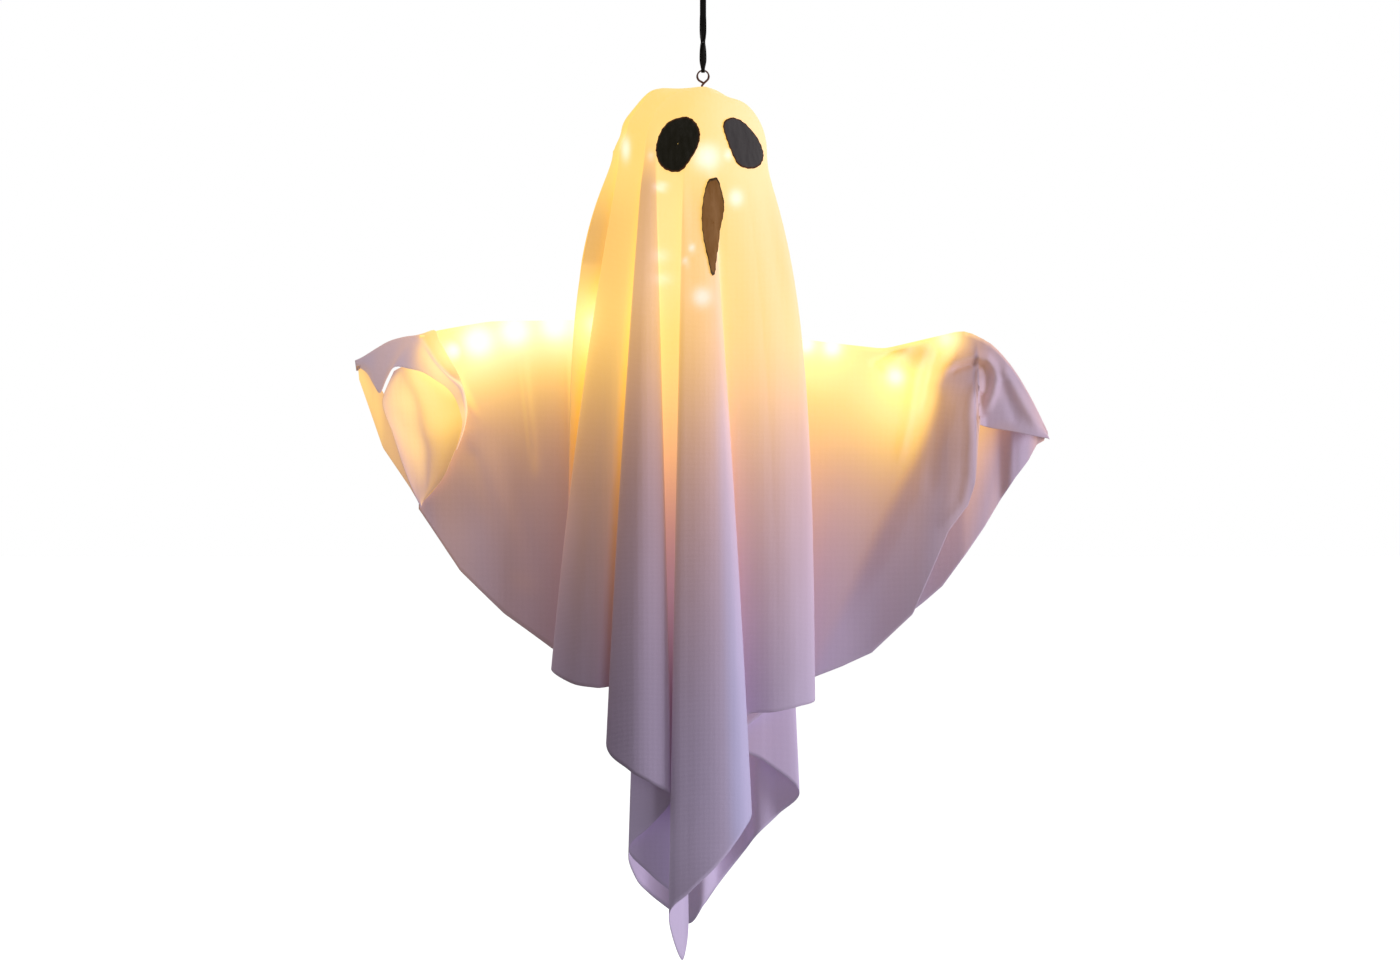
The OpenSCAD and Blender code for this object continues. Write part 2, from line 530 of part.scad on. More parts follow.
// height and half width along the mouth, as shares
MOUTH = [[1, 0.35], [0.84, 0.7], [0.6, 0.95], [0.34, 1], [0, 0.85], [-0.4, 0.55], [-0.72, 0.28], [-1, 0.06]];
module mouth() {
    color([0.3, 0.19, 0.1]) felt_patch(mouth_at, mouth_half, mouth_lean, MOUTH);
}

module head_strand() {
    color([0.75, 0.62, 0.3]) tube(head_path, head_refs, strand_d, 6);
}

module left_lead() {
    color([0.75, 0.62, 0.3]) tube(lead(-1), [1, 0.1, 0], strand_d, 8);
}

module right_lead() {
    color([0.75, 0.62, 0.3]) tube(lead(1), [1, 0.1, 0], strand_d, 8);
}

module left_strand() {
    color([0.75, 0.62, 0.3])
        tube(arm_strand(-1, LEFT_ARM, LEFT_SLACK, left_reach), [0, 1, 0.05], strand_d, 8);
}

module right_strand() {
    color([0.75, 0.62, 0.3])
        tube(arm_strand(1, RIGHT_ARM, RIGHT_SLACK, right_reach), [0, 1, 0.05], strand_d, 8);
}

module head_leds() {
    color([1, 0.9, 0.6]) {
        for (t = HEAD_BEADS) translate(wind_point(t, bead_out)) sphere(r = bead_r);
        for (k = DROOP_BEADS) translate(droop[k] - [0, bead_r - strand_d / 2, 0]) sphere(r = bead_r);
    }
}

module arm_leds(side, arm, slack, beads) {
    color([1, 0.9, 0.6]) for (d = beads)
        translate(strand_point(side, d * arm_scale(side), arm, slack) + [0, -(bead_r - strand_d / 2), 0])
            sphere(r = bead_r);
}

module left_leds() {
    arm_leds(-1, LEFT_ARM, LEFT_SLACK, LEFT_BEADS);
}

module right_leds() {
    arm_leds(1, RIGHT_ARM, RIGHT_SLACK, RIGHT_BEADS);
}

// a band round an arm wire and its light string
module arm_ties(side, arm, places) {
    middle = (arm_wire / 2 + strand_y - strand_d / 2) / 2;
    color([0.2, 0.2, 0.2]) for (place = places) let (d = place * arm_scale(side))
        translate([side * d, middle, z_hub - soft_drop(side, d, arm)]) rotate([0, 90, 0]) difference() {
            cylinder(r = tie_bore + tie_wall, h = tie_width, center = true);
            cylinder(r = tie_bore, h = tie_width + 1, center = true);
        }
}

module left_ties() {
    arm_ties(-1, LEFT_ARM, LEFT_TIES);
}

module right_ties() {
    arm_ties(1, RIGHT_ARM, RIGHT_TIES);
}

grommet_r = 1.8;
lead_holes = [[-pivot_offset, 0], [pivot_offset, 0], [0.26 * case_width, case_depth / 4]];

module battery_case() {
    w = case_width - 2 * case_wall;
    front = -case_depth / 2;
    knob_slot = [knob[0] + knob_travel + 2 * cover_gap, knob[1] + 2 * cover_gap];
    color([0.12, 0.12, 0.13]) difference() {
        union() {
            translate([-case_width / 2, front, z_case - case_height])
                cube([case_width, case_depth, case_height]);
            translate([0, 0, z_case]) cylinder(r = boss_r, h = boss_height);
        }
        translate([0, 0, z_case]) cylinder(r = stem_r + fit_gap, h = boss_height + 1);
        translate([-w / 2, front + case_wall, shelf_z]) cube([w, case_depth, inner_height]);
        translate([-w / 2, front + case_wall, z_case - case_height + case_wall])
            cube([w, cover_y - front - case_wall - cover_gap, switch_room]);
        translate([-w / 2, cover_y - cover_gap, z_case - case_height - 1])
            cube([w, case_depth, case_height - case_wall + 1]);
        translate([-w / 2 - tongue, cover_y + cover_gap, z_case - case_height - 1])
            cube([w + 2 * tongue, case_wall / 2, case_height - case_wall + 1]);
        translate([-knob[0] / 2 - cover_gap, -knob_slot[1] / 2, z_case - case_height - 1])
            cube([knob_slot[0], knob_slot[1], case_wall + 2]);
        for (h = lead_holes) translate([h[0], h[1], z_case - case_wall - 1])
            cylinder(r = grommet_r + fit_gap, h = case_wall + 2);
    }
}

module battery_cover() {
    w = case_width - 2 * case_wall - 2 * cover_gap;
    h = case_height - case_wall - cover_gap;
    low = z_case - case_height;
    rib = 1;
    color([0.15, 0.15, 0.16]) {
        translate([-w / 2, cover_y, low]) cube([w, case_wall, h]);
        translate([-w / 2 - tongue, cover_y + 1.5 * cover_gap, low])
            cube([w + 2 * tongue, case_wall / 2 - cover_gap, h]);
        for (k = [0:3]) translate([-w / 4, cover_y + case_wall, low + 8 + 3 * k]) cube([w / 2, rib, rib]);
    }
}

function battery_x(k) = (k - 1) * battery_pitch;
module batteries() {
    color([0.2, 0.5, 0.3]) for (k = [0:2]) {
        up = k != 1;
        base = up ? shelf_z + plate + spring_length : shelf_z + plate + battery_nub;
        translate([battery_x(k), battery_y, base]) {
            cylinder(r = battery_r, h = battery_length);
            translate([0, 0, up ? battery_length : -battery_nub])
                cylinder(r = battery_r * 0.38, h = battery_nub);
        }
    }
}

module contact_springs() {
    color([0.75, 0.76, 0.78]) for (k = [0:2]) {
        base = k != 1 ? shelf_z + plate : shelf_z + plate + battery_nub + battery_length;
        translate([battery_x(k), battery_y, base])
            cylinder(r1 = k != 1 ? 4 : 2.5, r2 = k != 1 ? 2.5 : 4, h = spring_length);
    }
}

module contact_plates() {
    side = 1.5 * battery_r;
    color([0.75, 0.76, 0.78]) for (k = [0:2]) {
        up = k != 1;
        top_end = shelf_z + plate + battery_nub + battery_length + spring_length;
        translate([battery_x(k) - side / 2, battery_y - side / 2, shelf_z]) cube([side, side, plate]);
        translate([battery_x(k) - side / 2, battery_y - side / 2, top_end]) cube([side, side, plate]);
    }
}

switch_z = z_case - case_height + case_wall;
module switch_body() {
    slot = [knob[0] + knob_travel + 2 * cover_gap, knob[1] + 2 * cover_gap];
    middle = knob_travel / 2;
    color([0.3, 0.3, 0.32]) difference() {
        translate([middle - switch_block[0] / 2, -switch_block[1] / 2, switch_z]) cube(switch_block);
        translate([-knob[0] / 2 - cover_gap, -slot[1] / 2, switch_z - 1])
            cube([slot[0], slot[1], switch_block[2] / 2 + 1]);
    }
}

module switch_knob() {
    color([0.8, 0.8, 0.8]) translate([-knob[0] / 2, -knob[1] / 2, z_case - case_height - knob_out])
        cube([knob[0], knob[1], knob_out + case_wall + switch_block[2] / 2 - cover_gap]);
}

module lead_grommets() {
    color([0.1, 0.1, 0.1]) for (h = lead_holes) translate([h[0], h[1], z_case - case_wall]) difference() {
        union() {
            cylinder(r = grommet_r, h = case_wall + 1);
            translate([0, 0, case_wall]) cylinder(r = grommet_r + 0.7, h = 1);
        }
        translate([0, 0, -1]) cylinder(d = strand_d + 2 * fit_gap, h = case_wall + 3);
    }
}

hang_loop();
hang_knot();
hang_ribbon();
screw_eye();
head_ball();
stem();
shoulder_hub();
left_arm_ball();
left_arm_wire();
right_arm_ball();
right_arm_wire();
front_drape();
back_drape();
left_sleeve();
right_sleeve();
left_eye();
right_eye();
mouth();
head_strand();
left_lead();
right_lead();
left_strand();
right_strand();
head_leds();
left_leds();
right_leds();
left_ties();
right_ties();
battery_case();
battery_cover();
batteries();
contact_springs();
contact_plates();
switch_body();
switch_knob();
lead_grommets();
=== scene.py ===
import math

import bpy
import numpy as np
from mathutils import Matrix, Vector
from mathutils.bvhtree import BVHTree


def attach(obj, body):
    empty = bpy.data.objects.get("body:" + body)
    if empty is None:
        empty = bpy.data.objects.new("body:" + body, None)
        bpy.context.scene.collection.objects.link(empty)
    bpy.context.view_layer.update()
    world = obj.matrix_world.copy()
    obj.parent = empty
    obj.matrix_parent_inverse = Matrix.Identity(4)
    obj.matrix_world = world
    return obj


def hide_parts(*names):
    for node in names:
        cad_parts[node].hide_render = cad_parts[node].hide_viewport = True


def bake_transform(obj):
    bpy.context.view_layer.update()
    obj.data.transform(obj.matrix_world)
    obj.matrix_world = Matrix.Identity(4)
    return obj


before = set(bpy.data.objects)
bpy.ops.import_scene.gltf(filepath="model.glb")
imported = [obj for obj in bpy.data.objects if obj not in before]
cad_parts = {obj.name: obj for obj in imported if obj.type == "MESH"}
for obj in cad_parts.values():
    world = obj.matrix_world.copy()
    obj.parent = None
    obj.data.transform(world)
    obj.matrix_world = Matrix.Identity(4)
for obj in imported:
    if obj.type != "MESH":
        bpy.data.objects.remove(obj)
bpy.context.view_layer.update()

# sizes in mm, as in the part's source
MM = 0.001
HEAD_Z = -157.0
HUB_Z = -300.0
RING_TOP_Z = -92.4
KNOT_Z = -17.1
RIBBON_WIDTH = 5.0
CLOTH = 0.5
# where the beads sit: how far out on the ball, and how far in front of an arm wire
BEAD_OUT = 47.6
BEAD_Y = -3.3
# the string wound round the ball: its polar angles, its turns and where it starts
WIND_FROM = 150
WIND_TO = 28
WIND_TURNS = 5
WIND_START = -54
# the sheet: its radius round the ball, the angle where its top starts, its length down to the equator,
# the share of its drop where an arm slit starts, how fast the slit and the folds open, and the easing
# under the ball
CLOTH_R = 50.84
CROWN = 4.0
CROWN_LENGTH = 60
SLIT_SHARE = 0.2
SLIT_EASE = 0.12
FOLD_REACH = 0.45
EASE = 0.03
# the flap over the left of the crown stands up, the right dips, and the left cheek is a little hollow
FLAP_LIFT = 6.5
RIGHT_DIP = 4.0
CHEEK = 0.05
# a sleeve: half its depth at the top, how much more at the hem, its waves, and the distances from the middle
# where it starts and ends
SLEEVE_HALF = 6.2
SLEEVE_FLARE = 8
SLEEVE_WAVE = 2
WAVE_LENGTH = 90
SLEEVE_START = 52
LEFT_WRIST = 226
LEFT_END = 277
RIGHT_END = 275
# the cloth over an arm wire: how far above the wire's middle, and the height of its rounded part
CREST_RISE = 3.75
CREST_DEPTH = 4
# the same past the left wrist, where the cloth is rolled tight: half width, above the middle, height
ROLL = (3.0, 2.6, 3.5)
# the least that a sleeve's layer hangs below its top
MIN_HANG = 3
# a bead's light: its strength, the square of the distance where it levels off, and its spot on the sheet
BEAD_POWER = 5000
BEAD_CORE = 9
SHEET_SPOT = 36.0
# the image: its width and middle in pixels, a pixel's size at the middle, and the camera's place
IMAGE_WIDTH = 1400
IMAGE_MIDDLE = (700, 480)
PIXEL = 0.8
CAMERA_X = -2.4
CAMERA_Z = -420
CAMERA_AWAY = 2000

# each row of cloth: bearing on the head, looseness there, how early it spreads, hem x, hem y,
# drop below the head, 1 for an edge that is closed down to the arm slit, how much light comes through,
# and how far the row stands out as a pleat under the face
FRONT_ROWS = np.array([
    [-89.2, 21, 0.17, -107, -24, 398, 1, 0.38, 0], [-87.2, 13, 0.6, -101, -14, 404, 0, 0.38, 0],
    [-84, 16, 1.5, -119, -38, 411, 0, 0.6, 0], [-78, 9, 1.5, -102, -58, 421, 0, 0.68, 0],
    [-71, 3, 2, -83, -64, 424, 0, 0.75, 0], [-66, 0, 2, -63, -56, 427, 0, 0.58, 0],
    [-62, 0, 2, -74.5, -74, 467, 0, 0.28, 3], [-58, 0, 2, -57, -86, 485, 0, 0.26, 2.4],
    [-53, 0, 2, -40, -88, 495, 0, 0.28, 1.4], [-48, 0, 2, -24, -83, 507, 0, 0.38, 0.3],
    [-44, 0, 2, -39, -72, 528, 0, 1.2, 0], [-37, 0, 2, -57.5, -64, 549, 0, 1.2, 0],
    [-30, 0, 2, -40, -60, 570, 0, 1.2, 0], [-23, 0, 2, -13, -62, 596, 0, 1.2, 0],
    [-19, 0, 2, -16, -68, 634, 0, 1.2, 0], [-16, 0, 2, -26, -89, 596, 0, 0.6, 2.5],
    [-9, 0, 2, -10, -96, 577, 0, 0.62, 2], [-2, 0, 2, 13, -98, 554, 0, 0.62, 1.5],
    [3, 0, 2, 31, -93, 530, 0, 0.54, 1.2], [6, 0, 2, 37, -80, 516, 0, 0.47, 1],
    [9, 0, 2, 25, -72, 491, 0, 0.94, 0], [13, 0, 1.5, 21, -66, 464, 0, 0.94, 0],
    [20, 0, 1, 34, -68, 445, 0, 0.94, 0], [34, 0, 0.5, 55, -72, 442, 0, 0.9, 0],
    [52, 0, 0.35, 74, -68, 438, 0, 0.86, 0], [71, 0, 0.25, 87, -54, 434, 0, 0.75, 0],
    [89.2, 0, 0.4, 77, -24, 424, 1, 0.8, 0]])
# beads that show as bright spots on the front of the sheet: image x, y, half width, half height, brightness
HEAD_SPOTS = [(626, 149, 4, 10, 1.1), (651, 156, 3, 4, 0.35), (661, 187, 6, 3.5, 0.9),
              (707, 157, 11, 11, 1.3), (728, 155, 3.5, 4, 0.9), (736, 198, 6, 7, 1.1),
              (692, 248, 3, 3.5, 0.9), (686, 262, 3, 2.5, 0.8), (702, 297, 8, 8, 1.0),
              (661, 256, 8, 6, 0.3), (663, 279, 9, 5, 0.3)]
BACK_ROWS = np.array([
    [90.8, 0, 0.4, 78, 24, 430, 1, 0.8, 0], [96, 0, 0.5, 26, 30, 474, 0, 0.8, 0],
    [102, 0, 0.5, 50, 34, 492, 0, 0.8, 0], [110, 0, 1.5, 78.5, 40, 517, 0, 0.8, 0],
    [120, 0, 0.5, 62, 56, 538, 0, 0.6, 0], [130, 0, 0.8, 44, 60, 556, 0, 0.9, 0],
    [142, 0, 0.8, 34, 84, 573, 0, 0.6, 0], [155, 0, 0.8, 12.5, 92, 602, 0, 0.6, 0],
    [165, 0, 0.8, 1, 78, 616, 0, 0.9, 0], [176, 0, 0.8, -11, 86, 633, 0, 0.6, 0],
    [186, 0, 0.8, -26, 98, 625, 0, 0.5, 0], [198, 0, 0.8, -45, 92, 609, 0, 0.6, 0],
    [208, 0, 0.8, -56, 76, 593, 0, 0.9, 0], [217, 0, 0.8, -61, 66, 570, 0, 0.9, 0],
    [225, 0, 0.8, -44, 62, 545, 0, 0.9, 0], [232, 2, 0.7, -52, 76, 520, 0, 0.6, 0],
    [241, 6, 0.6, -64, 72, 484, 0, 0.5, 0], [250, 12, 0.4, -71, 50, 436, 0, 0.6, 0],
    [260, 19, 0.25, -92, 34, 405, 0, 0.5, 0], [269.2, 21, 0.17, -108, 24, 393, 1, 0.5, 0]])
# where the pleats under the face start, and where a row's light starts to differ from the head's:
# bearing, drop below the head
PLEAT_TOP = [[-62, -10], [-39, -10], [-16, 20], [-2, 60], [3, 95]]
ROW_TOP = [[-70, 5], [-62, -25], [-48, -25], [-40, 5]]
# strength of the light inside the sheet against the drop below the head
LIGHT_DROP = [[-60, 1.5], [0, 1.7], [60, 1.55], [123, 1.2], [162, 0.82], [201, 0.44], [248, 0.22],
              [294, 0.125], [356, 0.055], [418, 0.015], [480, 0]]
# arm wires and hems: distance from the middle, drop below the shoulder
LEFT_ARM = [[15, 0], [32, 0], [60, -3], [100, -4], [170, -3], [205, 3], [230, 8], [245, 11], [262, 19],
            [274, 30], [290, 46]]
RIGHT_ARM = [[15, 0], [32, 0], [60, 9], [100, 14], [145, 19], [175, 12], [209, 4], [230, 15], [246, 34],
             [260, 58], [272, 83], [284, 108]]
LEFT_HEM = [[30, 276], [80, 270], [120, 254], [158, 226], [193, 192], [226, 143], [236, 126], [258, 94],
            [278, 36]]
RIGHT_FRONT_HEM = [[30, 284], [89, 276], [110, 268], [134, 257], [166, 226], [194, 160], [209, 140],
                   [215, 122], [217, 100], [218.5, 76], [228, 78.5], [246, 81.5], [268, 86], [275, 87]]
RIGHT_BACK_HEM = [[30, 284], [89, 276], [110, 268], [134, 257], [166, 228], [180, 217], [193, 205.5],
                  [211, 180.5], [226, 158.5], [238, 138.5], [251, 118], [262, 104], [269, 91.5], [275, 88]]
# top of the left sleeve's back layer past the wrist, where the hand is open
LEFT_BACK_TOP = [[228, 40], [232, 58], [250, 55], [256, 51], [264, 37], [275, 27]]
# slack of the light strings along the arms, and where their beads are
LEFT_SLACK = [[120, 0], [150, 4], [179, 11], [199, 16], [215, 9], [230, 0]]
RIGHT_SLACK = [[112, 0], [135, 8], [154, 21], [167, 31], [180, 14], [192, 0]]
LEFT_BEADS = [92, 118, 150, 179, 199]
RIGHT_BEADS = [82, 103, 154, 167, 196]
HEAD_BEADS = [0.03, 0.08, 0.146, 0.206, 0.28, 0.344, 0.3814, 0.395, 0.45, 0.53, 0.64, 0.69, 0.85, 0.92]
DROOP_BEADS = [[-0.8, -57, -273], [-12, -43, -245], [-8, -43, -234]]


def pixel_size(y):
    """Size of a pixel, in mm, at depth y."""
    return PIXEL * (CAMERA_AWAY + y) / CAMERA_AWAY


def at(px, py, y):
    """Where a point at depth y is, in mm, if the image shows it at that pixel."""
    k = pixel_size(y)
    return [CAMERA_X + (px - IMAGE_MIDDLE[0]) * k, y, CAMERA_Z - (py - IMAGE_MIDDLE[1]) * k]


def lookup(d, table):
    """Value at distance d in a table of pairs."""
    keys, values = zip(*table)
    return np.interp(d, keys, values)


def soft_lookup(d, table):
    """The same, with the table's corners rounded."""
    d = np.asarray(d, float)
    return (lookup(d - 6, table) + 2 * lookup(d, table) + lookup(d + 6, table)) / 4


def smooth01(t):
    """From 0 to 1 with level ends."""
    t = np.clip(t, 0, 1)
    return t * t * (3 - 2 * t)


def rise(value, start, over):
    """0 up to start, 1 from start + over, and smooth between them."""
    return smooth01((value - start) / over)


def fall(value, start, over):
    """1 up to start, 0 from start + over, and smooth between them."""
    return 1 - rise(value, start, over)


def hump(value, middle, half, power=4):
    """1 in the middle, about a third at the half width, and 0 far away."""
    return np.exp(-((value - middle) / half) ** power)


def spline_rows(rows, u):
    """Catmull-Rom through the rows of an array, at places u along them."""
    rows = np.asarray(rows, float)
    n = len(rows) - 1
    i = np.clip(np.floor(u).astype(int), 0, n - 1)
    t = (u - i).reshape((-1,) + (1,) * (rows.ndim - 1))
    a, b = rows[np.maximum(i - 1, 0)], rows[i]
    c, d = rows[i + 1], rows[np.minimum(i + 2, n)]
    return 0.5 * (2 * b + (c - a) * t + (2 * a - 5 * b + 4 * c - d) * t**2 + (3 * b - a - 3 * c + d) * t**3)


def loft(control, nu, nv):
    """A fine grid through a coarse grid of control points."""
    control = np.asarray(control, float)
    rows = spline_rows(control, np.linspace(0, len(control) - 1, nu))
    return spline_rows(rows.swapaxes(0, 1), np.linspace(0, control.shape[1] - 1, nv)).swapaxes(0, 1)


def unit(v):
    return v / np.maximum(np.linalg.norm(v, axis=-1, keepdims=True), 1e-9)


def grid_normals(p):
    return unit(np.cross(np.gradient(p, axis=0), np.gradient(p, axis=1)))


# where the lights are, in mm
def wind_point(t, r):
    """Point at share t of the string round the ball."""
    b = math.radians(WIND_FROM + (WIND_TO - WIND_FROM) * t)
    a = math.radians(360 * WIND_TURNS * t + WIND_START)
    return [r * math.sin(b) * math.cos(a), r * math.sin(b) * math.sin(a), HEAD_Z + r * math.cos(b)]


def arm_bead(side, d, arm, slack):
    """Bead on the string along an arm, which hangs in its slack."""
    drop = 0 if d < slack[0][0] or d > slack[-1][0] else soft_lookup(d, slack)
    return [side * d, BEAD_Y, HUB_Z - soft_lookup(d, arm) - drop]


HEAD_LIGHTS = np.array([wind_point(t, BEAD_OUT) for t in HEAD_BEADS] + DROOP_BEADS, float)
LEFT_LIGHTS = np.array([arm_bead(-1, d, LEFT_ARM, LEFT_SLACK) for d in LEFT_BEADS], float)
RIGHT_LIGHTS = np.array([arm_bead(1, d, RIGHT_ARM, RIGHT_SLACK) for d in RIGHT_BEADS], float)
ARM_LIGHTS = np.concatenate([LEFT_LIGHTS, RIGHT_LIGHTS])


def bead_white(points, lights, bead):
    """Share of white where a bead shows through the cloth."""
    spot = np.zeros(points.shape[:-1])
    for light in lights:
        to = points - light
        spot += (bead / ((to * to).sum(-1) + bead)) ** 2
    return 1 - np.exp(-5 * spot)


def spot_white(points, spots):
    """Share of white at spots that are placed by where the image shows them."""
    k = pixel_size(points[..., 1])
    px = IMAGE_MIDDLE[0] + (points[..., 0] - CAMERA_X) / k
    py = IMAGE_MIDDLE[1] - (points[..., 2] - CAMERA_Z) / k
    return 1 - np.exp(-sum(b * hump(px, x, w, 2) * hump(py, y, h, 2) for x, y, w, h, b in spots))


def warm(strength, white):
    """Warm light that comes through the cloth: orange where weak, yellow where strong, white over a bead."""
    red = 1.1 * (1 - np.exp(-1.6 * strength))
    green = 0.62 * (1 - np.exp(-1.3 * strength)) * (1 - 0.22 * np.exp(-3 * strength))
    green = green + 0.3 * (1 - np.exp(-0.2 * strength))
    blue = 0.15 * (1 - np.exp(-0.3 * strength**2))
    return np.stack([red + 0.3 * white, green + 0.45 * white, blue + 0.75 * white], -1)


def nearby(points, lights, haze, reach):
    """Strength of the light of a few beads on cloth near them."""
    normals = grid_normals(points)
    total = np.zeros(points.shape[:-1])
    for light in lights:
        to = points - light
        d2 = (to * to).sum(-1)
        facing = np.abs((to * normals).sum(-1)) / np.sqrt(d2 + 1)
        total += (facing + haze) * np.exp(-np.sqrt(d2) / reach) / (d2 + BEAD_CORE)
    return BEAD_POWER * total


def grid_quads(nu, nv, start=0):
    """Faces of a grid of nu by nv points."""
    index = start + np.arange(nu * nv).reshape(nu, nv)
    corners = [index[:-1, :-1], index[1:, :-1], index[1:, 1:], index[:-1, 1:]]
    return np.stack(corners, -1).reshape(-1, 4)


def add_object(name, data):
    obj = bpy.data.objects.new(name, data)
    bpy.context.collection.objects.link(obj)
    return obj


def make_mesh(name, grids, glows, material, thickness=CLOTH):
    """One mesh of several grids of points, with the light that shows through each as a colour."""
    points, quads, colours = [], [], []
    start = 0
    for k, grid in enumerate(grids):
        nu, nv = grid.shape[:2]
        quads.append(grid_quads(nu, nv, start))
        points.append(grid.reshape(-1, 3))
        colours.append(glows[k].reshape(-1, 3))
        start += nu * nv
    mesh = bpy.data.meshes.new(name)
    mesh.from_pydata((np.concatenate(points) * MM).tolist(), [], np.concatenate(quads).tolist())
    mesh.polygons.foreach_set("use_smooth", [True] * len(mesh.polygons))
    layer = mesh.color_attributes.new("glow", "FLOAT_COLOR", "POINT")
    rgba = np.concatenate([np.concatenate(colours), np.ones((start, 1))], 1)
    layer.data.foreach_set("color", rgba.astype(np.float32).ravel())
    mesh.materials.append(material)
    obj = add_object(name, mesh)
    if thickness:
        solid = obj.modifiers.new("thickness", "SOLIDIFY")
        solid.thickness = thickness * MM
        solid.offset = 0
    return obj


# materials
def new_material(name, colour, roughness, metallic=0.0, **sockets):
    """A material with its shader's sockets set, and what is needed to add to it."""
    mat = bpy.data.materials.new(name)
    mat.use_nodes = True
    shader = mat.node_tree.nodes["Principled BSDF"]
    shader.inputs["Base Color"].default_value = (*colour, 1)
    shader.inputs["Roughness"].default_value = roughness
    shader.inputs["Metallic"].default_value = metallic
    for key, value in sockets.items():
        shader.inputs[key.replace("_", " ")].default_value = value
    return mat, mat.node_tree.nodes, mat.node_tree.links, shader


def coordinates(nodes, links, scale):
    place = nodes.new("ShaderNodeTexCoord")
    mapping = nodes.new("ShaderNodeMapping")
    mapping.inputs["Scale"].default_value = scale
    links.new(place.outputs["Object"], mapping.inputs["Vector"])
    return mapping.outputs["Vector"]


def noise(nodes, links, scale, detail=3.0, stretch=(1, 1, 1)):
    tex = nodes.new("ShaderNodeTexNoise")
    tex.inputs["Scale"].default_value = scale
    tex.inputs["Detail"].default_value = detail
    links.new(coordinates(nodes, links, stretch), tex.inputs["Vector"])
    return tex.outputs["Fac"]


def waves(nodes, links, axis, scale, distortion=1.5):
    tex = nodes.new("ShaderNodeTexWave")
    tex.bands_direction = axis
    tex.inputs["Scale"].default_value = scale
    tex.inputs["Distortion"].default_value = distortion
    tex.inputs["Detail"].default_value = 1.0
    links.new(coordinates(nodes, links, (1, 1, 1)), tex.inputs["Vector"])
    return tex.outputs["Fac"]


def ramp(nodes, links, source, low, high, start=0.3, end=0.7):
    node = nodes.new("ShaderNodeValToRGB")
    node.color_ramp.elements[0].position = start
    node.color_ramp.elements[1].position = end
    node.color_ramp.elements[0].color = (*low, 1)
    node.color_ramp.elements[1].color = (*high, 1)
    links.new(source, node.inputs["Fac"])
    return node.outputs["Color"]


def bump(nodes, links, shader, height, distance, strength=0.5):
    node = nodes.new("ShaderNodeBump")
    node.inputs["Strength"].default_value = strength
    node.inputs["Distance"].default_value = distance
    links.new(height, node.inputs["Height"])
    links.new(node.outputs["Normal"], shader.inputs["Normal"])


def plain(name, low, high, roughness, metallic=0.0, scale=60, height=0.0003, stretch=(1, 1, 1), **sockets):
    """A finish with mottled colour, uneven gloss and a fine bump, all from noise."""
    mat, nodes, links, shader = new_material(name, high, roughness, metallic, **sockets)
    mottle = noise(nodes, links, scale, 4.0, stretch)
    links.new(ramp(nodes, links, mottle, low, high), shader.inputs["Base Color"])
    gloss = ramp(nodes, links, mottle, (roughness * 0.85,) * 3, (min(1, roughness * 1.15),) * 3)
    links.new(gloss, shader.inputs["Roughness"])
    bump(nodes, links, shader, noise(nodes, links, scale * 12, 2.0, stretch), height, 0.4)
    return mat


def glowing_cloth(name, low, high, scale, weave_scale, roughness, sheen):
    """Woven cloth that shows the light behind it."""
    mat, nodes, links, shader = new_material(
        name, high, roughness, 0.0, Sheen_Weight=sheen, Sheen_Roughness=0.4, Specular_IOR_Level=0.08)
    shade = ramp(nodes, links, noise(nodes, links, scale, 5.0, (1, 1, 0.3)), low, high)
    glow = nodes.new("ShaderNodeVertexColor")
    glow.layer_name = "glow"
    # painted shade: the base colour is made darker where the painted glow is strong
    red = nodes.new("ShaderNodeSeparateColor")
    links.new(glow.outputs["Color"], red.inputs["Color"])
    lit = nodes.new("ShaderNodeMath")
    lit.operation = "MULTIPLY_ADD"
    lit.inputs[1].default_value = -0.3
    lit.inputs[2].default_value = 1.0
    links.new(red.outputs["Red"], lit.inputs[0])
    glow_dimmed_base = nodes.new("ShaderNodeVectorMath")
    glow_dimmed_base.operation = "SCALE"
    links.new(shade, glow_dimmed_base.inputs["Vector"])
    links.new(lit.outputs["Value"], glow_dimmed_base.inputs["Scale"])
    links.new(glow_dimmed_base.outputs["Vector"], shader.inputs["Base Color"])
    weave = nodes.new("ShaderNodeMath")
    weave.operation = "ADD"
    links.new(waves(nodes, links, "X", weave_scale), weave.inputs[0])
    links.new(waves(nodes, links, "Z", weave_scale), weave.inputs[1])
    slub = nodes.new("ShaderNodeMath")
    slub.operation = "ADD"
    links.new(weave.outputs["Value"], slub.inputs[0])
    links.new(noise(nodes, links, 420, 4.0), slub.inputs[1])
    bump(nodes, links, shader, slub.outputs["Value"], 0.0004, 0.25)
    links.new(glow.outputs["Color"], shader.inputs["Emission Color"])
    shader.inputs["Emission Strength"].default_value = 1.0
    return mat


SHEET = glowing_cloth("ghost_cloth", (0.66, 0.53, 0.77), (0.73, 0.585, 0.85), 14, 330, 0.75, 0.1)
# painted shade: the sleeves are a darker copy of the sheet's cloth, which makes the arms look shaded
SHADED_SLEEVE_CLOTH = glowing_cloth("shaded_sleeve_cloth", (0.54, 0.435, 0.62), (0.6, 0.48, 0.69), 14, 330, 0.75, 0.1)
BLACK_FELT = glowing_cloth("black_felt", (0.006, 0.006, 0.005), (0.03, 0.028, 0.026), 300, 700, 0.95, 0.2)
BROWN_FELT = glowing_cloth("brown_felt", (0.06, 0.035, 0.02), (0.16, 0.10, 0.06), 220, 600, 0.95, 0.1)


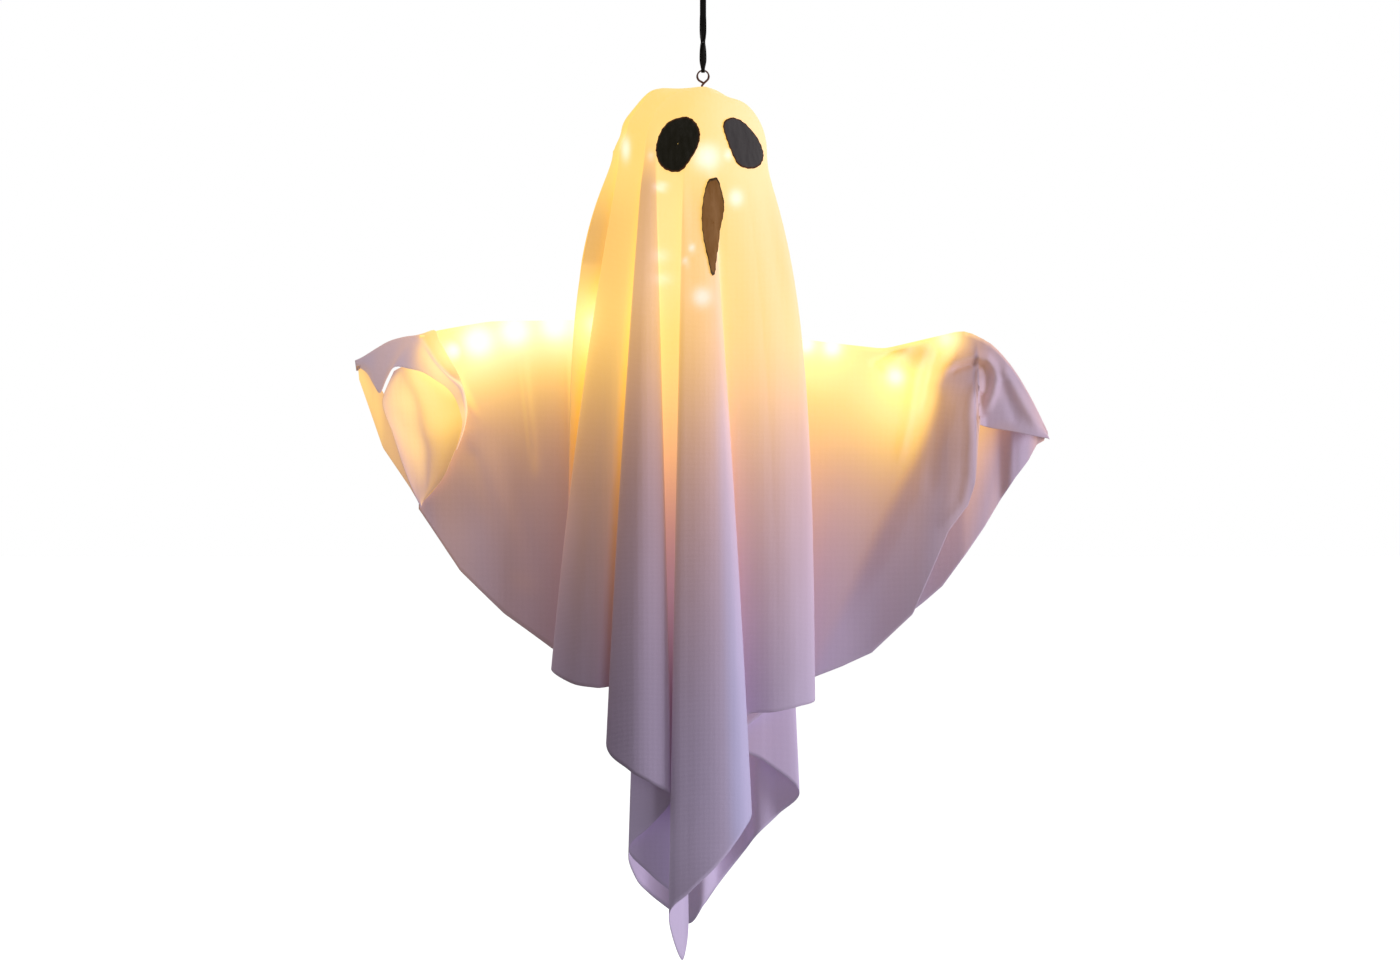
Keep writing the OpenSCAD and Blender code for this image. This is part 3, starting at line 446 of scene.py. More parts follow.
# hanging ribbon, its loop and its knot
def strip_mesh(name, strips, thickness, material):
    """Flat ribbons with rounded edges, along frames of centre, half width and outward, with closed ends."""
    upper = [(-1, 0.3), (-0.93, 1), (0, 1.15), (0.93, 1), (1, 0.3)]
    profile = upper + [(-a, -b) for a, b in upper]
    m = len(profile)
    points, faces = [], []
    for centre, across, out in strips:
        start = sum(len(p) for p in points)
        half = np.broadcast_to(np.asarray(thickness) / 2, len(centre))[:, None]
        rings = np.stack([centre + across * a + out * (b * half) for a, b in profile], 1)
        n = len(rings)
        points.append(rings.reshape(-1, 3))
        for i in range(n - 1):
            near = start + i * m
            far = near + m
            for k in range(m):
                following = (k + 1) % m
                faces.append((near + k, far + k, far + following, near + following))
        faces.append(tuple(range(start, start + m)))
        faces.append(tuple(range(start + n * m - 1, start + (n - 1) * m - 1, -1)))
    mesh = bpy.data.meshes.new(name)
    mesh.from_pydata((np.concatenate(points) * MM).tolist(), [], faces)
    mesh.polygons.foreach_set("use_smooth", [len(f) == 4 for f in faces])
    mesh.materials.append(material)
    return add_object(name, mesh)


def ribbon_material():
    mat, nodes, links, shader = new_material(
        "satin_ribbon", (0.006, 0.005, 0.005), 0.55, 0.0, Specular_IOR_Level=0.05)
    tint = ramp(nodes, links, noise(nodes, links, 400, 2.0), (0.004, 0.0035, 0.003), (0.009, 0.008, 0.0075))
    links.new(tint, shader.inputs["Base Color"])
    bump(nodes, links, shader, waves(nodes, links, "Z", 500), 0.0002, 0.5)
    return mat


# the ribbon: half its gathered width at the ring, half the gap between its strands above, the share of the
# strands that has the half turn, and its thickness, which is more where that turn rolls it up and in the knot
GATHERED = 1.5
STRAND_GAP = 0.95
TURN_SHARE = 0.58
THIN = 0.6
KNOT_THICK = 0.7
# the loop's radius, where a short end leaves the knot and how far out it goes
LOOP_R = 9.3
TAIL_OUT = 2.6
TAIL_LENGTH = 8.6
# wraps of the knot: radius, half width, lean in degrees, wobble, height above the strands
KNOT_WRAPS = [(2.6, 3.3, 0, 0.25, 3.7), (3.3, 2.2, 24, 0.3, 3.7), (3.7, 1.7, -18, 0.2, 4.1)]


def ribbon_frames(count):
    """Down one strand with its half turn, round the ring and up the other strand."""
    drop = KNOT_Z - RING_TOP_Z
    h = np.linspace(drop, 0, count)
    along = np.clip((h - 1) / (TURN_SHARE * drop), 0, 1)
    turn = np.radians(180 * (0.65 * along + 0.35 * smooth01(along)))
    gap = GATHERED + (STRAND_GAP - GATHERED) * rise(h, 0, 15)
    half = GATHERED + (RIBBON_WIDTH / 2 - GATHERED) * rise(h, 0, 9)
    across = np.stack([np.cos(turn), np.sin(turn), np.zeros(count)], -1)
    out = np.stack([-np.sin(turn), np.cos(turn), np.zeros(count)], -1)
    height = np.stack([np.zeros(count), np.zeros(count), RING_TOP_Z + h], -1)
    down = (out * gap[:, None] + height, across * half[:, None], out)
    q = np.radians(np.arange(15, 180, 15))
    zero = np.zeros(len(q))
    under = np.stack([zero, np.cos(q), -np.sin(q)], -1)
    bend = (under * GATHERED + [0, 0, RING_TOP_Z], np.stack([zero + GATHERED, zero, zero], -1), under)
    up = ((-out * gap[:, None] + height)[::-1], (across * half[:, None])[::-1], -out[::-1])
    return [np.concatenate(parts) for parts in zip(down, bend, up)]


def ring_frames(radius, half_width, tilt, wobble, centre, axis, count):
    """A ribbon wound once round an axis, leaning by tilt degrees."""
    a = np.linspace(0, 2 * math.pi, count)
    zero = np.zeros(count)
    r = radius + wobble * np.sin(2 * a)
    if axis == "x":
        out = np.stack([zero, np.sin(a), -np.cos(a)], -1)
        across = np.stack([zero + 1, zero, zero], -1)
    else:
        out = np.stack([np.cos(a), np.sin(a), zero], -1)
        across = np.stack([zero, zero, zero + 1], -1)
    lean = math.radians(tilt)
    turn = np.array([[math.cos(lean), 0, math.sin(lean)], [0, 1, 0], [-math.sin(lean), 0, math.cos(lean)]])
    return (out * r[:, None]) @ turn.T + centre, (across * half_width) @ turn.T, out @ turn.T


RIBBON = ribbon_material()
centre, across, out = ribbon_frames(70)
above_ring = centre[:, 2] - RING_TOP_Z
ribbon = strip_mesh("ribbon_strands", [(centre, across, out)], THIN + hump(above_ring, 23, 14, 2), RIBBON)
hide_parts("hang_ribbon")
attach(ribbon, "ribbon")

loop_frames = ring_frames(LOOP_R, RIBBON_WIDTH / 2, 0, 0, [0, 0, 0], "x", 80)
loop = strip_mesh("ribbon_loop", [loop_frames], THIN, RIBBON)
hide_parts("hang_loop")
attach(loop, "hanger")


def tail_frames(side):
    """One of the short ends that stick out of the knot."""
    s = np.linspace(0, 1, 14)
    x = side * (TAIL_OUT + TAIL_LENGTH * s)
    y = side * 0.4 - 1.2 * np.sin(s * math.pi) * side
    z = KNOT_Z + 3.6 - 1.5 * s - 6.0 * s * s
    centre = np.stack([x, y, z], -1)
    along = unit(np.gradient(centre, axis=0))
    out = np.stack([0 * s, 0 * s - 1, 0.25 + 0 * s], -1)
    out = unit(out - along * (out * along).sum(-1, keepdims=True))
    return centre, np.cross(along, out) * (2.3 - 0.4 * (1 - s))[:, None], out


knot_parts = [ring_frames(radius, half, lean, wobble, [0, 0, KNOT_Z + up], "z", 40)
              for radius, half, lean, wobble, up in KNOT_WRAPS]
knot_parts += [tail_frames(-1), tail_frames(1)]
knot = strip_mesh("ribbon_knot", knot_parts, KNOT_THICK, RIBBON)
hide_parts("hang_knot")
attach(knot, "hanger")


# the main sheet: room light that comes through thin cloth from behind, and the light of the sky on the edge
# of the middle pleat
DAYLIGHT = np.array([0.075, 0.065, 0.095])
SKYLIGHT = np.array([0.0, 0.035, 0.09])
# where the front shows daylight: share, bearing, half width, then the drop where it starts and where it ends,
# each with the length over which it changes
PAST_HEM = 1000
FRONT_DAYLIGHT = [(0.45, -6, 9, 60, 100, 540, 60), (0.25, -56, 7, 40, 60, 180, 80),
                  (1.0, -34, 28, -30, 40, 100, 60), (1.2, -22, 8, 500, 40, PAST_HEM, 1),
                  (0.6, -86, 6, 230, 80, PAST_HEM, 1)]


def drape_surface(rows, u, v):
    """Points of a drape for rows u and levels v (-1 crown, 0 equator, 1 hem)."""
    columns = np.moveaxis(spline_rows(rows, u)[:, None, :], -1, 0)
    bearing, loose, reach, hem_x, hem_y, drop, closed, _, stand = columns
    v = v[None, :]
    below = drop * np.maximum(v, 0) + CROWN_LENGTH * np.minimum(v, 0)
    radius = CLOTH_R + loose + stand * rise(below, lookup(bearing, PLEAT_TOP), 50)
    az = np.radians(bearing)
    x, y = radius * np.sin(az), -radius * np.cos(az)
    polar = CROWN + (90 - CROWN) * (1 + np.minimum(v, 0))
    b = np.radians(polar)
    down = np.maximum(v, 0)
    down = down - EASE * (1 - np.exp(-down / EASE))
    down = down / (1 - EASE * (1 - math.exp(-1 / EASE)))
    f = (1 - np.exp(-down / reach)) / (1 - np.exp(-1 / reach))
    opened = np.maximum(down - SLIT_SHARE, 0) / (1 - SLIT_SHARE)
    opened = (1 - np.exp(-opened / SLIT_EASE)) / (1 - math.exp(-1 / SLIT_EASE))
    fold_reach = np.minimum(reach, FOLD_REACH)
    g = (1 - np.exp(-down / fold_reach)) / (1 - np.exp(-1 / fold_reach))
    g = g + closed * (opened - g)
    flap = rise(-bearing, 58, 26) + rise(bearing, 235, 30)
    lift = FLAP_LIFT * flap * hump(polar, 35, 13, 2)
    lift = lift - RIGHT_DIP * rise(bearing, 10, 40) * hump(polar, 25, 13, 2)
    cheek = 1 - CHEEK * flap * hump(polar, 76, 11, 2)
    px = np.where(v < 0, x * np.sin(b) * cheek, x + (hem_x - x) * f)
    py = np.where(v < 0, y * np.sin(b), y + (hem_y - y) * g)
    pz = np.where(v < 0, HEAD_Z + CLOTH_R * np.cos(b) + lift, HEAD_Z - drop * np.maximum(v, 0))
    return np.stack([px, py, pz], -1)


# points of the sheet's grids: over the crown, down to the hem, and across the front and the back
CROWN_LEVELS = 50
DROP_LEVELS = 140
FRONT_COLUMNS = 520
BACK_COLUMNS = 380
levels = np.concatenate([np.linspace(-1, 0, CROWN_LEVELS)[:-1], np.linspace(0, 1, DROP_LEVELS)])
front_grid = drape_surface(FRONT_ROWS, np.linspace(0, len(FRONT_ROWS) - 1, FRONT_COLUMNS), levels)
back_grid = drape_surface(BACK_ROWS, np.linspace(0, len(BACK_ROWS) - 1, BACK_COLUMNS), levels)
cloth = {}
for name, grid, rows in (("front", front_grid, FRONT_ROWS), ("back", back_grid, BACK_ROWS)):
    along = np.linspace(0, len(rows) - 1, len(grid))
    bearing = np.interp(along, np.arange(len(rows)), rows[:, 0])[:, None]
    share = np.interp(along, np.arange(len(rows)), rows[:, 7])[:, None]
    below = HEAD_Z - grid[..., 2]
    strength = sum(lookup(below + shift, LIGHT_DROP) for shift in (-24, -12, 0, 12, 24)) / 5
    strength = strength * (1 + (share - 1) * rise(below, lookup(bearing, ROW_TOP), 60))
    if name == "front":
        # rows that let the most light through lie deep between pleats, and show the room's light lower down
        valley = np.clip((share - 1.02) / 0.18, 0, 1)
        strength = strength * (1 - 0.6 * valley * rise(below, 230, 110))
        white = spot_white(grid, HEAD_SPOTS)
        deep = valley * rise(below, 90, 110) * (1 - 0.7 * rise(below, 585, 20))
        deep = deep * (1 - rise(below, 330, 120) * (1 - hump(bearing, -38, 8, 2)))
        deep = deep + 0.25 * rise(bearing, 12, 10) * rise(below, 120, 80)
        for amount, middle, half, top, over, end, fading in FRONT_DAYLIGHT:
            patch = hump(bearing, middle, half) * rise(below, top, over) * fall(below, end, fading)
            deep = deep + amount * patch
        edge = hump(bearing, 3.5, 3.5) * rise(below, 170, 60) * fall(below, 520, 60)
    else:
        white = bead_white(grid, HEAD_LIGHTS, SHEET_SPOT)
        # the back shows painted room light lower down, with painted shade at its left hem
        deep = rise(below, 320, 100) * (1 - 0.2 * rise(below, 585, 20))
        deep = deep * (1 - 0.7 * rise(bearing, 188, 10) * rise(below, 530, 30))
        edge = np.zeros(below.shape)
    # the arms' beads light the sheet a little
    strength = strength + 0.3 * nearby(grid, ARM_LIGHTS, 0.0, 200.0)
    glow = warm(strength, np.maximum(white, bead_white(grid, ARM_LIGHTS, SHEET_SPOT)))
    glow = glow + edge[..., None] * SKYLIGHT + deep[..., None] * DAYLIGHT
    piece = make_mesh(name + "_sheet", [grid], [glow], SHEET)
    cloth[name] = (piece, [grid])
    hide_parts(name + "_drape")
    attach(piece, "ghost")


# sleeves
def crest_line(d, arm, above=CREST_RISE):
    """Height of the cloth's top over an arm wire, at distances d."""
    slope = (soft_lookup(d + 3, arm) - soft_lookup(d - 3, arm)) / 6
    return HUB_Z - soft_lookup(d, arm) + above * np.sqrt(1 + slope**2)


def layer(side, face, d, top, low, rows, dent=None):
    """One hanging layer of a sleeve: columns at distances d, from top to low, with rows closer at the top."""
    t = np.linspace(0, 1, rows)[None, :] ** 1.5
    z = top[:, None] + (low - top)[:, None] * t
    x = np.repeat(d[:, None], rows, 1)
    y = SLEEVE_HALF + SLEEVE_FLARE * t + SLEEVE_WAVE * t * np.sin(2 * np.pi * (x / WAVE_LENGTH + t / 3))
    if dent is not None:
        y = y + dent(x, z)
    return np.stack([side * x, face * y, z], -1)


def hood(side, d, arm, width, above, depth):
    """The cloth over the wire, between the two layers."""
    a = np.radians(np.linspace(0, 180, 13))[None, :]
    x = np.repeat(side * d[:, None], a.size, 1)
    y = np.repeat(-width * np.cos(a), len(d), 0)
    z = crest_line(d, arm, above)[:, None] - depth + depth * np.sin(a)
    return np.stack([x, y, z], -1)


def sleeve_grid(side, d, arm, front_low, back_low, front_dent=None, back_dent=None, rows=70):
    """A sleeve from its front hem up, over the wire and down to its back hem."""
    top = crest_line(d, arm) - CREST_DEPTH
    front = layer(side, -1, d, top, np.minimum(front_low, top - MIN_HANG), rows, front_dent)[:, ::-1]
    over = hood(side, d, arm, SLEEVE_HALF, CREST_RISE, CREST_DEPTH)[:, 1:-1]
    back = layer(side, 1, d, top, np.minimum(back_low, top - MIN_HANG), rows, back_dent)
    return np.concatenate([front, over, back], 1)


# the left hand, as image x, y and depth: first its leaf-shaped opening
LEAF = [
    [(394, 371, -10), (405, 366, -9), (420, 366, -9), (440, 374, -10), (458, 386, -13)],
    [(384, 394, -16), (399, 387, -11), (418, 385, -9), (444, 392, -11), (465, 398, -17)],
    [(383, 408, -20), (400, 410, -14), (422, 412, -10), (446, 412, -13), (466, 410, -20)],
    [(392, 432, -22), (406, 435, -15), (424, 437, -11), (444, 436, -13), (461, 433, -20)],
    [(401, 460, -22), (411, 462, -17), (426, 463, -13), (440, 462, -14), (452, 458, -19)],
    [(410, 484, -20), (416, 486, -17), (427, 486, -14), (435, 485, -15), (441, 481, -17)],
    [(421, 508, -15), (421.5, 506, -15), (422, 503, -14), (423, 502, -14), (424, 500, -14)]]
# the strap round the left hand: behind the wire, over it, its front and its lower edge
STRAP = [
    [(356, 369, 5), (355, 361, 0), (356, 363, -2), (357, 366, -1)],
    [(364, 365, 4), (363, 357, -1), (364, 362, -4), (367, 373, -5)],
    [(375, 358, 3.5), (374, 350, -1.5), (374, 362, -6), (374, 385, -10)],
    [(389, 350, 3), (388, 342, -2), (385, 359, -8), (380, 393, -13)],
    [(401, 346, 2.5), (400, 338, -2.5), (396, 352, -8), (386.5, 379, -13)],
    [(412, 344, 2), (411, 336, -3), (406, 347, -8), (394.5, 367, -12)],
    [(433, 330, -5), (420, 337, -5), (417, 348, -9), (410, 369, -12)],
    [(440, 341, -9), (428, 347, -10), (426, 355, -12), (423, 372.5, -13)],
    [(448, 356, -10.5), (437, 361, -12), (437, 368, -14), (437, 381, -14)],
    [(457, 371, -12.5), (450, 375, -14), (449, 379, -16), (447, 388, -16)],
    [(463, 387, -13), (462, 386, -16), (460, 390, -19), (455, 398, -18)],
    [(467, 405, -17), (466, 404, -20), (464, 406, -22), (460, 411, -19)],
    [(466.5, 418, -18), (466, 418, -20.5), (465, 420, -22), (462.5, 423, -20.5)],
    [(463, 433, -19), (462.5, 433, -20.5), (462, 434, -21.5), (460.5, 436, -20.8)],
    [(457, 449, -19), (456.8, 449, -19.6), (456.6, 449.5, -20), (456.2, 450, -19.8)]]


def control(table):
    """Points in mm of a table of image points with depths."""
    return np.array([[at(*p) for p in row] for row in table])


def from_line(x, z, line):
    """Distance from points to a line of image points, and how far along it they are, from 0 to 1."""
    ends = np.array([at(px, py, -10) for px, py in line])[:, ::2]
    best = np.full(x.shape, 1e9)
    along = np.zeros(x.shape)
    for k in range(len(ends) - 1):
        a, step = ends[k], ends[k + 1] - ends[k]
        across = (np.abs(x) - abs(a[0])) * np.sign(a[0])
        t = np.clip((across * step[0] + (z - a[1]) * step[1]) / (step @ step), 0, 1)
        away = np.hypot(np.abs(x) - np.abs(a[0] + t * step[0]), z - a[1] - t * step[1])
        along = np.where(away < best, (k + t) / (len(ends) - 1), along)
        best = np.minimum(away, best)
    return best, along


def creases(x, z, table):
    """Soft ridges and valleys along lines: height, width, line."""
    y = np.zeros(x.shape)
    for height, width, line in table:
        away, along = from_line(x, z, line)
        y += height * np.exp(-(away / width) ** 2) * smooth01(along * 6) * smooth01((1 - along) * 5)
    return y


# creases of the sleeves' fronts: height, width and a line of image points
LEFT_CREASES = [
    (0.7, 4, [(521, 345), (527, 400), (536, 480)]), (0.9, 3, [(571, 330), (573, 400), (577, 500)]),
    (1.0, 12, [(470, 430), (500, 510), (530, 600)])]
RIGHT_CREASES = [
    (-2.5, 3, [(868, 366), (886, 357), (905, 342), (930, 333)]),
    (2.0, 4, [(880, 372), (896, 358), (912, 343)]),
    (2.0, 4, [(930, 340), (916, 372), (908, 420), (896, 470)]),
    (-1.5, 3, [(940, 345), (930, 380), (921, 420)]),
    (3.4, 3.6, [(938, 374), (948, 366), (960, 360), (975, 356.5), (987, 359), (994, 368), (996, 380),
                (993, 394), (986, 408), (981, 420)]),
    (-2.4, 3.0, [(944, 376), (958, 367.5), (973, 363.5), (984, 366), (988.5, 374), (988, 386), (983, 398)]),
    (2.2, 4.5, [(986, 376), (978, 387), (970, 399), (967.5, 415), (968.5, 440), (966.5, 477), (961, 503),
                (950, 515), (936, 530)]),
    (-4.0, 4, [(981, 390), (979, 405), (980, 420)]),
    (1.0, 7, [(958, 395), (958, 450), (950, 500), (935, 530)]),
    (-1.5, 6, [(936, 385), (935, 440), (925, 500)]),
    (3.0, 5, [(1000, 360), (1012, 385), (1024, 405), (1043, 434)]),
    (-1.5, 5, [(1003, 376), (1010, 400), (1018, 428)])]


def left_front(x, z):
    """The left sleeve's front turns in at its upper corner, and has soft creases."""
    edge = 211 - (-299 - z) * 0.52
    return -1.6 * rise(x, edge, 10) * rise(z, -378, 30) + creases(x, z, LEFT_CREASES)


def slant(z):
    """Where the right sleeve's slanting fold is at height z."""
    return 168 + (z + 388) * 0.475


def right_front(x, z):
    """The right sleeve's front: the slope beside the slanting fold, and the folds of the arched hand."""
    beside = rise(x, slant(z), 26) * rise(-z, 335, 30) * rise(z, -545, 70)
    forward = 0.06 * np.maximum(x - 60, 0) * rise(-z, 318, 70) * rise(-x, -226, 12)
    return creases(x, z, RIGHT_CREASES) + 5 * beside * rise(-x, -226, 14) + forward


def right_back(x, z):
    """The fold in the right sleeve's back layer, under the arched hand."""
    return -6 * rise(x, 238, 11) * fall(x, 253, 17) * rise(-z, 366, 14)


# left sleeve: spots that its beads make, the last of which is smaller
LEFT_SPOT = 95.0
LAST_SPOT = 25.0
# its main part, then past the wrist its back layer, the cloth over the wire and the open hand
d = np.linspace(SLEEVE_START, LEFT_WRIST, 140)
low = HUB_Z - lookup(d, LEFT_HEM)
main = sleeve_grid(-1, d, LEFT_ARM, low, low, left_front)
d = np.linspace(LEFT_WRIST, LEFT_END, 40)
strip = layer(-1, 1, d, HUB_Z - lookup(d, LEFT_BACK_TOP), HUB_Z - lookup(d, LEFT_HEM), 40)
roll = hood(-1, d, LEFT_ARM, *ROLL)
leaf = loft(control(LEAF), 60, 36)
strap = loft(control(STRAP), 70, 24)
# painted light: each lift is room light painted into the glow, more on the main piece's lower outer part and
# at the leaf's outer edge; each gain scales the beads' light, strongest across the leaf's middle
outer = rise(-main[..., 0], 150, 40) * rise(-main[..., 2], 430, 40)
main_lift = outer[..., None] * np.array([0.045, 0.035, 0.04]) + [0.07, 0.045, 0.045]
t = np.linspace(0, 1, leaf.shape[1])
leaf_gain = 0.6 + 1.9 * np.sin(math.pi * t) ** 2 + 0.6 * t**3
leaf_lift = 0.02 + np.outer(1 - t, [0.04, 0.05, 0.1])
row = np.linspace(0, len(STRAP) - 1, len(strap))
t = np.linspace(0, 1, strap.shape[1])
strap_gain = 0.11 + 0.12 * rise(row, 5, 3) + 0.43 * rise(row / row[-1], 0.72, 0.15)
# painted shade: on the strap's inside behind the wire the glow is a fixed dim one and the painted room light
# is mostly taken away
strap_inside_shade = np.outer(rise(row, 5.5, 1) * fall(row, 9.5, 1), fall(t, 0.28, 0.06))
strap_gain = strap_gain[:, None] * (1 - strap_inside_shade) + 0.24 * strap_inside_shade
strap_lift = (1 - 0.8 * strap_inside_shade)[..., None] * np.array([0.2, 0.175, 0.21])
glows = []
for grid, gain, clear, lift in ((main, 1.0, 1, main_lift), (strip, 1.2, 1, (0.1, 0.1, 0.13)),
                                (roll, 0.3, 0.3, (0, 0, 0)), (leaf, leaf_gain, 0.5, leaf_lift),
                                (strap, strap_gain, 0.2, strap_lift)):
    light = gain * nearby(grid, LEFT_LIGHTS, 0.07, 500.0)
    white = bead_white(grid, LEFT_LIGHTS[:-1], LEFT_SPOT)
    white = np.maximum(white, bead_white(grid, LEFT_LIGHTS[-1:], LAST_SPOT))
    glows.append(warm(light, clear * white) + np.array(lift))
left = make_mesh("left_arm_cloth", [main, strip, roll, leaf, strap], glows, SHADED_SLEEVE_CLOTH)
cloth["left"] = (left, [main, strip, roll, leaf, strap])

# right sleeve, with the folds that shade the light at its top: image x, y, half width, half height, depth
SLEEVE_SHADES = [(898, 350, 16, 7, 2.2), (914, 362, 10, 11, 2.2), (926, 352, 9, 9, 1.6),
                 (921, 380, 13, 18, 0.9)]
# where the hand starts and how much light it gets, against height
HAND_EDGE = [[-345, 166], [-320, 178]]
HAND_LIGHT = [[-430, 0.5], [-396, 0.32], [-356, 0.17], [-340, 0.1], [-320, 0.1]]
# the fourth bead, which is deep in the slack, makes a smaller spot
RIGHT_SPOT = 30.0
DEEP_SPOT = 9.0
# colour of the room's light on it
ROOM_TINT = np.array([0.9, 0.8, 1.1])
d = np.linspace(SLEEVE_START, RIGHT_END, 180)
front_low = HUB_Z - lookup(d, RIGHT_FRONT_HEM)
back_low = HUB_Z - lookup(d, RIGHT_BACK_HEM)
main = sleeve_grid(1, d, RIGHT_ARM, front_low, back_low, right_front, right_back, 110)
smooth = sleeve_grid(1, d, RIGHT_ARM, front_low, back_low, rows=110)
x, z = main[..., 0], main[..., 2]
# the back layer, and shares of the slope beside the slanting fold, the hand, the dark folds, the fold under
# the hand's arch and the stretch of the back layer beside it
# painted shade: these shares cut the painted glow beside the slanting fold, at the hand, in the dark folds
# and in the fold under the arch, and the stretch of the back layer gets more painted light; the lift is
# painted room light
behind = main[..., 1] > 0
beside = rise(x, slant(z), 14) * rise(-z, 325, 40)
past = rise(x, lookup(z, HAND_EDGE), 26)
folds = spot_white(main, SLEEVE_SHADES)
folded = rise(x, 234, 8) * fall(x, 258, 14) * rise(-z, 366, 14)
window = rise(x, 206, 8) * fall(x, 230, 14)
front_gain = (1.6 + 0.5 * rise(-z, 345, 50) - 1.25 * beside) * (1 - past)
front_gain = front_gain + lookup(z, HAND_LIGHT) * past
gain = np.where(behind, 0.4 - 0.28 * folded + 0.45 * window, front_gain * (1 - 0.93 * folds))
white = bead_white(main, RIGHT_LIGHTS[[0, 1, 2, 4]], RIGHT_SPOT)
white = np.maximum(white, bead_white(main, RIGHT_LIGHTS[3:4], DEEP_SPOT))
white = white * (1 - 0.7 * past) * (1 - folds)
front_lift = 0.03 * rise(-z, 395, 60) + 0.02 * beside + 0.06 * rise(x, 220, 12)
lift = np.where(behind, 0.035 + 0.05 * window, front_lift)[..., None] * ROOM_TINT
glow = warm(gain * nearby(smooth, RIGHT_LIGHTS, 0.06, 500.0), white) + lift
right = make_mesh("right_arm_cloth", [main], [glow], SHADED_SLEEVE_CLOTH)
cloth["right"] = (right, [main])

# the model's sleeves are hidden, and each new sleeve's place is baked into its mesh
for piece, name, side in ((left, "left", -1), (right, "right", 1)):
    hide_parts(name + "_sleeve")
    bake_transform(piece)

# felt face: outlines as the image shows them
LEFT_EYE = [(687, 117), (694, 121), (699, 129), (700, 138), (697, 149), (690, 161), (683, 170), (675, 172),
            (666, 169), (660, 162), (657, 152), (657, 143), (661, 131), (668, 122), (677, 118)]
RIGHT_EYE = [(733, 117), (742, 120), (750, 127), (757, 135), (762, 145), (763, 153), (760, 162), (753, 167),
             (744, 167), (737, 163), (731, 151), (726, 138), (723, 127), (725, 120)]
MOUTH = [(710, 180), (717, 179), (721, 190), (724, 204), (723, 217), (720, 230), (717, 248), (715, 264),
         (714, 276), (711, 276), (708, 262), (704, 244), (702, 228), (702, 212), (704, 196), (707, 184)]
# depth of the face, thickness of the felt, how far its middle stands off the sheet, and how uneven its cut is
FACE_Y = -48
FELT = 0.9
FELT_OFF = 0.75
FELT_CUT = 0.22
grid = front_grid.reshape(-1, 3)
quads = grid_quads(*front_grid.shape[:2])
tree = BVHTree.FromPolygons(grid.tolist(), quads.tolist())


def felt(name, outline, material, light, rim):
    """A felt patch cut to an outline, lying on the sheet, with the light that shows in it and at its rim."""
    k = np.arange(72)
    loop = np.array([at(px, py, FACE_Y) for px, py in outline])
    u = 1 + len(loop) * k / len(k)
    loop = spline_rows(np.concatenate([loop[-1:], loop, loop[:2]]), u)
    loop += FELT_CUT * np.stack([np.sin(k * 2.1), 0 * k, np.cos(k * 1.7)], -1)
    middle = loop.mean(0)
    rings = [middle + (loop - middle) * s for s in (0.02, 0.3, 0.55, 0.75, 0.88, 0.93, 0.96, 1.0)]
    rows = []
    for ring in rings:
        row = []
        for p in np.concatenate([ring, ring[:1]]):
            hit, normal, face, distance = tree.ray_cast(Vector((p[0], -300, p[2])), Vector((0, 1, 0)))
            normal = normal if normal.y < 0 else -normal
            row.append(hit + normal * FELT_OFF)
        rows.append(row)
    glow = np.zeros((len(rows), len(rows[0]), 3)) + light
    glow[-2:] = rim
    piece = make_mesh(name, [np.array(rows)], [glow], material, FELT)
    bevel = piece.modifiers.new("soft_edge", "BEVEL")
    bevel.width = 0.3 * MM
    bevel.segments = 2
    return piece


# painted light in the felt: a warm rim on the eyes, the beads' light in the mouth, and on the right eye a
# painted sheen that makes it lighter than the left
EYE_RIM = (0.05, 0.014, 0.004)
face = []
for name, outline, material, slot, light, rim in (
        ("left_eye", LEFT_EYE, BLACK_FELT, "black_felt", (0.006, 0.005, 0.002), EYE_RIM),
        ("right_eye", RIGHT_EYE, BLACK_FELT, "black_felt", (0.045, 0.039, 0.042), EYE_RIM),
        ("mouth", MOUTH, BROWN_FELT, "brown_felt", (0.15, 0.06, 0.012), (0, 0, 0))):
    piece = felt(name + "_felt", outline, material, light, rim)
    face.append(piece)
    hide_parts(name)
    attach(piece, "ghost")


for name, rests, on_it in (("front", ["head_ball"], face), ("back", ["head_ball"], []),
                           ("left", ["left_arm_wire"], []), ("right", ["right_arm_wire"], [])):
    piece, grids = cloth[name]

# screw eye: the free end of its wire, round the ring, across that end and down into the head
BRONZE = plain("bronze_wire", (0.03, 0.008, 0.004), (0.11, 0.032, 0.015), 0.45, 0.5, 300)
RING_R = 4.6
EYE_WIRE_R = 0.65
SHANK_R = 0.87
RING_Z = RING_TOP_Z - RING_R
turn = np.radians(np.linspace(-142, 142, 60))
ring = np.stack([RING_R * np.sin(turn), 0 * turn, RING_Z + RING_R * np.cos(turn)], -1)
ends = [[1.0, -1.0, RING_Z - 6.0], [0.6, -1.0, RING_Z - 5.7], [-1.0, -0.6, RING_Z - 4.7]]
shank = [[1.1, 0.2, RING_Z - 5.2], [-0.2, 0.3, RING_Z - 6.6], [-0.9, 0.1, RING_Z - 8.2],
         [-0.5, 0, RING_Z - 10.5], [0, 0, RING_Z - 12.5], [0, 0, RING_Z - 15], [0, 0, RING_Z - 26],
         [0, 0, RING_Z - 38], [0, 0, RING_Z - 39.5]]
wire = np.concatenate([ends, ring[::4], shank])
wire = spline_rows(wire, np.linspace(0, len(wire) - 1, 260))
radius = EYE_WIRE_R + (SHANK_R - EYE_WIRE_R) * rise(RING_Z + 2 - wire[:, 2], 0, 3)
radius[[0, -1]] = 0.05
along = unit(np.gradient(wire, axis=0))
side = unit(np.cross(along, [0, 1, 0]))
over = np.cross(side, along)
q = np.linspace(0, 2 * math.pi, 15)[None, :, None]
